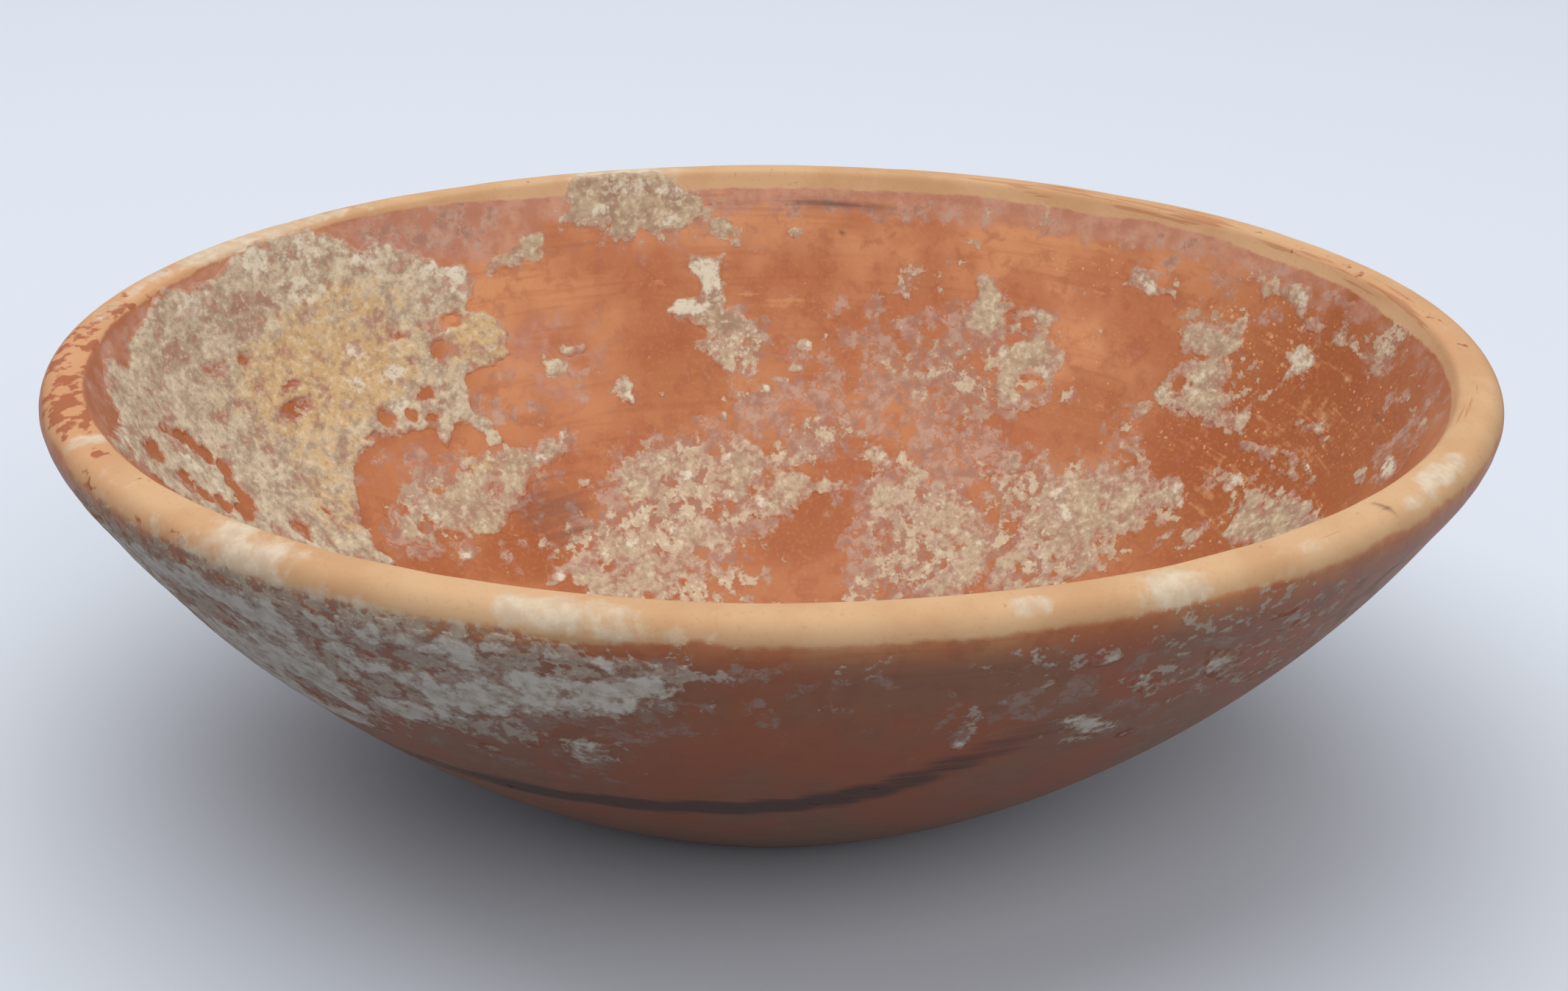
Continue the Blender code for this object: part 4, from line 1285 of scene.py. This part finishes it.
# %% Slip from the fire
def fired_slip(tree, clouds, mottle, tatters, strokes, grit, **others):
    """The red of the slip before it was buried, with painted shade towards the floor and all round the
    outside.
    """
    colour = two_tones(tree, clouds, 0.36, 0.62, (184, 114, 75), (211, 146, 101))
    # A deeper red in places, and painted shade towards the floor.
    colour = coat(tree, colour, (154, 80, 34), painted(tree, "deep_red_and_floor_shade"), 0.85)
    colour = coat(tree, colour, (154, 82, 48), between(tree, mottle, 0.48, 0.66), 0.45)
    colour = coat(tree, colour, (196, 128, 84), between(tree, grit, 0.5, 0.7), 0.3)
    colour = coat(tree, colour, (158, 86, 50), between(tree, strokes, 0.5, 0.75), 0.3)
    # Painted shade: outside, the slip is darker and browner.
    outside_lighting_tone = two_tones(tree, clouds, 0.38, 0.6, (168, 96, 70), (136, 92, 74))
    colour = coat(tree, colour, outside_lighting_tone, painted(tree, "outer"), 0.75)
    rosy_tone = two_tones(tree, tatters, 0.38, 0.62, (180, 124, 102), (200, 151, 127))
    colour = coat(tree, colour, rosy_tone, broken(tree, "rosy", mottle, 2.0, 0.2, 0.9), 0.8)
    return coat(tree, colour, (132, 100, 78), painted(tree, "foot_shade"), 0.6)


# %% [markdown]
# The second stage is what use and burial did: buff where the slip is worn, a pinkish grey haze with
# thin channels where it broke, a lacy film of lime that is cream where it is thickest, and pale
# specks of two sizes.

# %% Worn and buried slip
def buried_slip(tree, colour, mottle, tatters, lace, fine_strokes, grit, place, **others):
    """The slip with all that lies on it, and how much haze and film there is."""
    outer = painted(tree, "outer")
    worn = maths(tree, "MULTIPLY_ADD", lace, 0.6, part_of(tree, fine_strokes, 0.4))
    colour = coat(tree, colour, (208, 148, 98), broken(tree, "buff", worn, 3.6, 0.7, 1.15), 0.55)

    from_channel = maths(tree, "ABSOLUTE", maths(tree, "SUBTRACT", mottle, 0.5))
    haze = part_of(tree, broken(tree, "haze", tatters, 3.6, 0.48, 0.8), 0.85)
    haze = maths(tree, "MULTIPLY", haze, between(tree, from_channel, 0.0, 0.035))
    haze_tone = two_tones(tree, lace, 0.38, 0.62, (164, 122, 104), (190, 154, 134))
    # Painted cool light: outside, the haze is greyer and bluer.
    colour = mix(tree, haze, colour, coat(tree, haze_tone, (174, 148, 138), outer, 0.6))

    film = part_of(tree, broken(tree, "film", lace, 3.4, 0.66, 0.92), 0.85)
    film_tone = two_tones(tree, mottle, 0.4, 0.6, (178, 150, 126), (204, 184, 154))
    # Painted cool light: outside, the film is paler and bluer.
    colour = mix(tree, film, colour, coat(tree, film_tone, (210, 193, 180), outer, 0.6))
    cream = part_of(tree, broken(tree, "film", grit, 2.8, 0.95, 1.3), 0.75)
    colour = mix(tree, maths(tree, "MULTIPLY", cream, film), colour, (220, 206, 176))

    for spacing, speck_tone in ((0.8, (224, 150, 92)), (1.4, (216, 172, 126))):
        crumbs = add(tree, "ShaderNodeTexVoronoi", place, None, 1 / (spacing * MM))
        ragged = maths(tree, "MULTIPLY_ADD", grit, 0.4, crumbs)
        specks = maths(tree, "LESS_THAN", ragged, part_of(tree, painted(tree, "specks"), 0.34))
        colour = coat(tree, colour, speck_tone, specks, 0.6)
    return colour, haze, film


# %% [markdown]
# The third stage is the bare clay of the lip, which shows in two buffs, with fine pits, a blush
# where the slip wore off last, streaks and spots of slip that are left, and a film of lime.

# %% Bare lip
def lip_clay(tree, clouds, tatters, lace, spots, fine_strokes, grit, **others):
    """The colour of the lip where the slip is worn off it."""
    clay = two_tones(tree, clouds, 0.36, 0.62, (199, 154, 113), (209, 169, 128))
    clay = coat(tree, clay, (180, 126, 88), between(tree, grit, 0.42, 0.3), 0.2)
    clay = coat(tree, clay, (206, 140, 96), painted(tree, "lip_spots"), 0.5)
    streaks = broken(tree, "lip_streaks", fine_strokes, 3.6, 0.75, 1.05)
    clay = coat(tree, clay, (172, 104, 68), streaks, 0.5)
    remnants = broken(tree, "lip_spots", spots, 4.0, 0.8, 1.15)
    clay = coat(tree, clay, (160, 88, 58), remnants, 0.85)
    film_tone = two_tones(tree, lace, 0.36, 0.64, (202, 180, 155), (219, 203, 178))
    return coat(tree, clay, film_tone, broken(tree, "film", tatters, 2.6, 0.35, 1.1), 0.8)


# %% [markdown]
# The last stage joins slip and lip, and lays the dark marks over both, from brown at their edge to black.
# Haze, film and bare clay are duller than the slip. Strokes, film and grit raise the surface a
# little.

# %% Slip recipe
def slip_recipe(tree, place):
    """The colour of the bowl's surface, how dull it is, and its relief."""
    grains = slip_grains(tree, place)
    colour, haze, film = buried_slip(tree, fired_slip(tree, **grains), **grains, place=place)
    bare = broken(tree, "bare", grains["lace"], 0.8, 0.3, 0.7)
    colour = mix(tree, bare, colour, lip_clay(tree, **grains))
    dark = broken(tree, "dark", grains["strokes"], 0.9, 0.15, 0.95)
    colour = coat(tree, colour, mix(tree, dark, (128, 78, 64), (62, 51, 48)), dark, 0.82)

    dull = maths(tree, "MAXIMUM", maths(tree, "MAXIMUM", haze, film), bare)
    film_on_slip = maths(tree, "MULTIPLY", film, maths(tree, "SUBTRACT", 1.0, bare))
    relief = bumps(tree, grains["strokes"], 0.012)
    relief = bumps(tree, film_on_slip, 0.05, relief)
    return colour, dull, bumps(tree, grains["grit"], 0.02, relief)


# %% Slip material
slip_paint, tree, shader = new_material("burnished red slip")
colour, dull, relief = slip_recipe(tree, surface_place(tree))
feed(tree, shader.inputs["Base Color"], colour)
feed(tree, shader.inputs["Roughness"], maths(tree, "MULTIPLY_ADD", dull, 0.44, 0.44))
feed(tree, shader.inputs["Normal"], relief)
shader.inputs["Specular IOR Level"].default_value = 0.18
body_mesh.materials.append(slip_paint)
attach(fired_bowl, "root")
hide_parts("bowl_body")
print("slip of", len(tree.nodes), "nodes")

# %% [markdown]
# ## A flake of crust
# Lime could be only painted on, but real thickness gives it the small shadows that make a crust.
# Each flake starts as a fine grid on the wall. The depth inside its patch, torn by lumps, gives a
# height, which dips below the wall where there is no lime. Cells that lie wholly below the wall are
# dropped, and the rest get an underside and a rim, so the flake is one closed skin and its visible
# edge is the line where it meets the slip.

# %% Closed skin
def closed_skin(name, shown, top, bottom):
    """A mesh from a grid of top points and a grid of bottom points, over the cells that are shown."""
    rows, columns = shown.shape[0] + 1, shown.shape[1] + 1
    number = np.arange(rows * columns).reshape(rows, columns)
    corners = np.stack([number[:-1, :-1], number[:-1, 1:], number[1:, 1:], number[1:, :-1]], axis=-1)
    upper = corners[shown]
    edges = np.concatenate([upper[:, [i, (i + 1) % 4]] for i in range(4)])
    key = edges[:, 0] * rows * columns + edges[:, 1]
    back_key = edges[:, 1] * rows * columns + edges[:, 0]
    rim = edges[~np.isin(key, back_key)]
    shift = rows * columns
    sides = np.stack([rim[:, 1], rim[:, 0], rim[:, 0] + shift, rim[:, 1] + shift], axis=1)
    faces = np.concatenate([upper, upper[:, ::-1] + shift, sides])
    used, faces = np.unique(faces, return_inverse=True)
    mesh = bpy.data.meshes.new(name)
    mesh.from_pydata(np.concatenate([top, bottom])[used] * MM, [], faces.reshape(-1, 4).tolist())
    mesh.shade_smooth()
    return mesh, used % shift


# %% Height of the lime
TEAR_SIZE, FINE_TEAR_SIZE = 3.4, 0.9
GRIT_SIZE, FINE_GRIT_SIZE = 2.2, 0.8
LEAST_GRIT, MOST_GRIT = 0.12, 1.4
BURIED = 0.09
DIP = 0.4


def lime_height(recipe, depth, points, seed):
    """How high the lime stands off the wall, how fully it covers it, and how gritty it is."""
    shaped = points * LUMP_SHAPE
    torn = rough_lumps(shaped, TEAR_SIZE, seed, 4) + 0.6 * lumps(shaped, FINE_TEAR_SIZE, seed + 7)
    depth = depth + recipe["lace"] * torn
    cover = 1 - np.exp(-np.maximum(depth, 0) / recipe["edge"])
    grit = 0.7 + 0.3 * rough_lumps(shaped, GRIT_SIZE, seed + 11, 3)
    grit = grit + 0.22 * lumps(shaped, FINE_GRIT_SIZE, seed + 15)
    thick = recipe["thickness"] * cover * np.clip(grit, LEAST_GRIT, MOST_GRIT)
    height = np.maximum(np.where(depth > 0, thick, depth * DIP), -BURIED)
    return height, cover, grit


# %% Make a flake
GRID_STEP = 0.34
UNDERSIDE = 0.16
MARGIN = 2.0


def add_flake(name, recipe, seed):
    """Builds one patch of crust on the wall, and stores its colours."""
    (low_azimuth, low_down), (high_azimuth, high_down) = extent(recipe)
    degree = degree_at(recipe)
    margin = MARGIN / degree
    azimuths = np.arange(low_azimuth - margin, high_azimuth + margin, GRID_STEP / degree)
    downs = np.arange(low_down - MARGIN, high_down + MARGIN, GRID_STEP)
    azimuth, side_down = (grid.ravel() for grid in np.meshgrid(azimuths, downs))
    down = other_side(side_down) if recipe["outside"] else side_down
    points, normals = wall(azimuth, down)

    depth = patch_depth(recipe, azimuth, side_down)
    height, cover, grit = lime_height(recipe, depth, points, seed)
    level = height.reshape(len(downs), len(azimuths))
    shown = np.maximum.reduce([level[:-1, :-1], level[:-1, 1:], level[1:, 1:], level[1:, :-1]]) > 0
    top = points + normals * height[:, None]
    top[:, 2] = np.minimum(top[:, 2], box_height)
    mesh, used = closed_skin(name, shown, top, points - normals * UNDERSIDE)

    store_history(mesh, azimuth[used], down[used], points[used])
    store(mesh, "cover", (recipe["density"] * cover * np.clip(grit + 0.3, 0, 1))[used])
    for layer in ("ochre", "white", "stain"):
        store(mesh, layer, paint(recipe[layer], azimuth, side_down)[used])
    flake = bpy.data.objects.new(name, mesh)
    bpy.context.scene.collection.objects.link(flake)
    return flake


# %% [markdown]
# ## The lime
# Lime that settled in the ground is never one colour. This crust is a pale grey-buff, sandy with ochre in
# places and almost white in others, with brown grains and small purple stains. Outside it is paler and
# greyer, which is painted cool light. The cover that was stored for the flake gives its thin places:
# there it is first a pinkish veil, and then the slip below shows through a ragged edge. Lime has no
# shine.

# %% Lime materials
def lime_colour(tree, patches, lace, sand, dark_tone, pale_tone):
    """The colour of lime that is thick enough to hide the slip."""
    colour = two_tones(tree, patches, 0.36, 0.62, dark_tone, pale_tone)
    colour = coat(tree, colour, (206, 166, 110), broken(tree, "ochre", lace, 2.6, 0.3, 1.0), 0.7)
    colour = coat(tree, colour, (220, 208, 186), broken(tree, "white", lace, 2.6, 0.45, 0.95), 0.85)
    colour = coat(tree, colour, (150, 98, 84), broken(tree, "stain", patches, 3.0, 0.5, 1.0), 0.75)
    colour = coat(tree, colour, (222, 206, 176), between(tree, sand, 0.52, 0.66), 0.55)
    colour = coat(tree, colour, (150, 126, 104), between(tree, sand, 0.47, 0.34), 0.5)
    # Painted cool light: outside, the lime is paler and bluer.
    outside_lighting_tone = two_tones(tree, lace, 0.36, 0.62, (222, 207, 190), (250, 240, 228))
    return coat(tree, colour, outside_lighting_tone, painted(tree, "outer"), 0.7)


def lime_material(name, dark_tone, pale_tone, sand_depth):
    """A matt, gritty lime that lets the slip show where it is thin."""
    made, tree, shader = new_material(name)
    place = surface_place(tree)
    patches = grain(tree, 2.8, place, detail=5, roughness=0.65)
    lace = grain(tree, 1.4, place, detail=5, roughness=0.62)
    sand = grain(tree, 0.8, place, detail=3, roughness=0.6)
    below, _, _ = slip_recipe(tree, place)
    veil_tone = two_tones(tree, sand, 0.4, 0.6, (168, 128, 110), (192, 160, 138))
    veil = broken(tree, "cover", lace, 2.6, 0.1, 0.45)
    below = coat(tree, below, veil_tone, veil, 0.7)
    thick = maths(tree, "MULTIPLY", broken(tree, "cover", patches, 3.0, 0.36, 0.85), veil)
    lime = lime_colour(tree, patches, lace, sand, dark_tone, pale_tone)
    feed(tree, shader.inputs["Base Color"], mix(tree, thick, below, lime))
    shader.inputs["Roughness"].default_value = 0.9
    shader.inputs["Specular IOR Level"].default_value = 0.3
    relief = bumps(tree, sand, sand_depth)
    relief = bumps(tree, grain(tree, 0.3, place, detail=2), sand_depth / 2, relief)
    feed(tree, shader.inputs["Normal"], relief)
    return made


lime_paints = {
    "sandy_crust": lime_material("sandy crust", (164, 141, 117), (204, 185, 156), 0.08),
    "lime_crust": lime_material("lime crust", (161, 129, 106), (190, 166, 136), 0.05),
}
print("lime of", len(lime_paints), "kinds")

# %% [markdown]
# ## Lay the flakes on the bowl
# Each flake rides with the bowl, stands for its own plain flake in the frame, and takes the finish
# that the frame gives that flake. Each has a seed of its own, so that no two are torn alike.

# %% Build the flakes
FIRST_SEED, SEED_STEP = 100, 20

slot_of = {part["node"]: part["material_slot"] for part in frame["record"]["subparts"]}
total_faces = 0
for number, (name, recipe) in enumerate(flakes.items()):
    flake = add_flake("lime_" + name, recipe, FIRST_SEED + SEED_STEP * number)
    flake.data.materials.append(lime_paints[slot_of[name]])
    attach(flake, "root")
    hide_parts(name)
    total_faces += len(flake.data.polygons)
print(len(flakes), "flakes of", total_faces, "faces in all")

# %% [markdown]
# ## Finish
# The view transform stays plain, so that a colour renders as it is written.

# %% Finish
bpy.context.scene.view_settings.view_transform = "Standard"
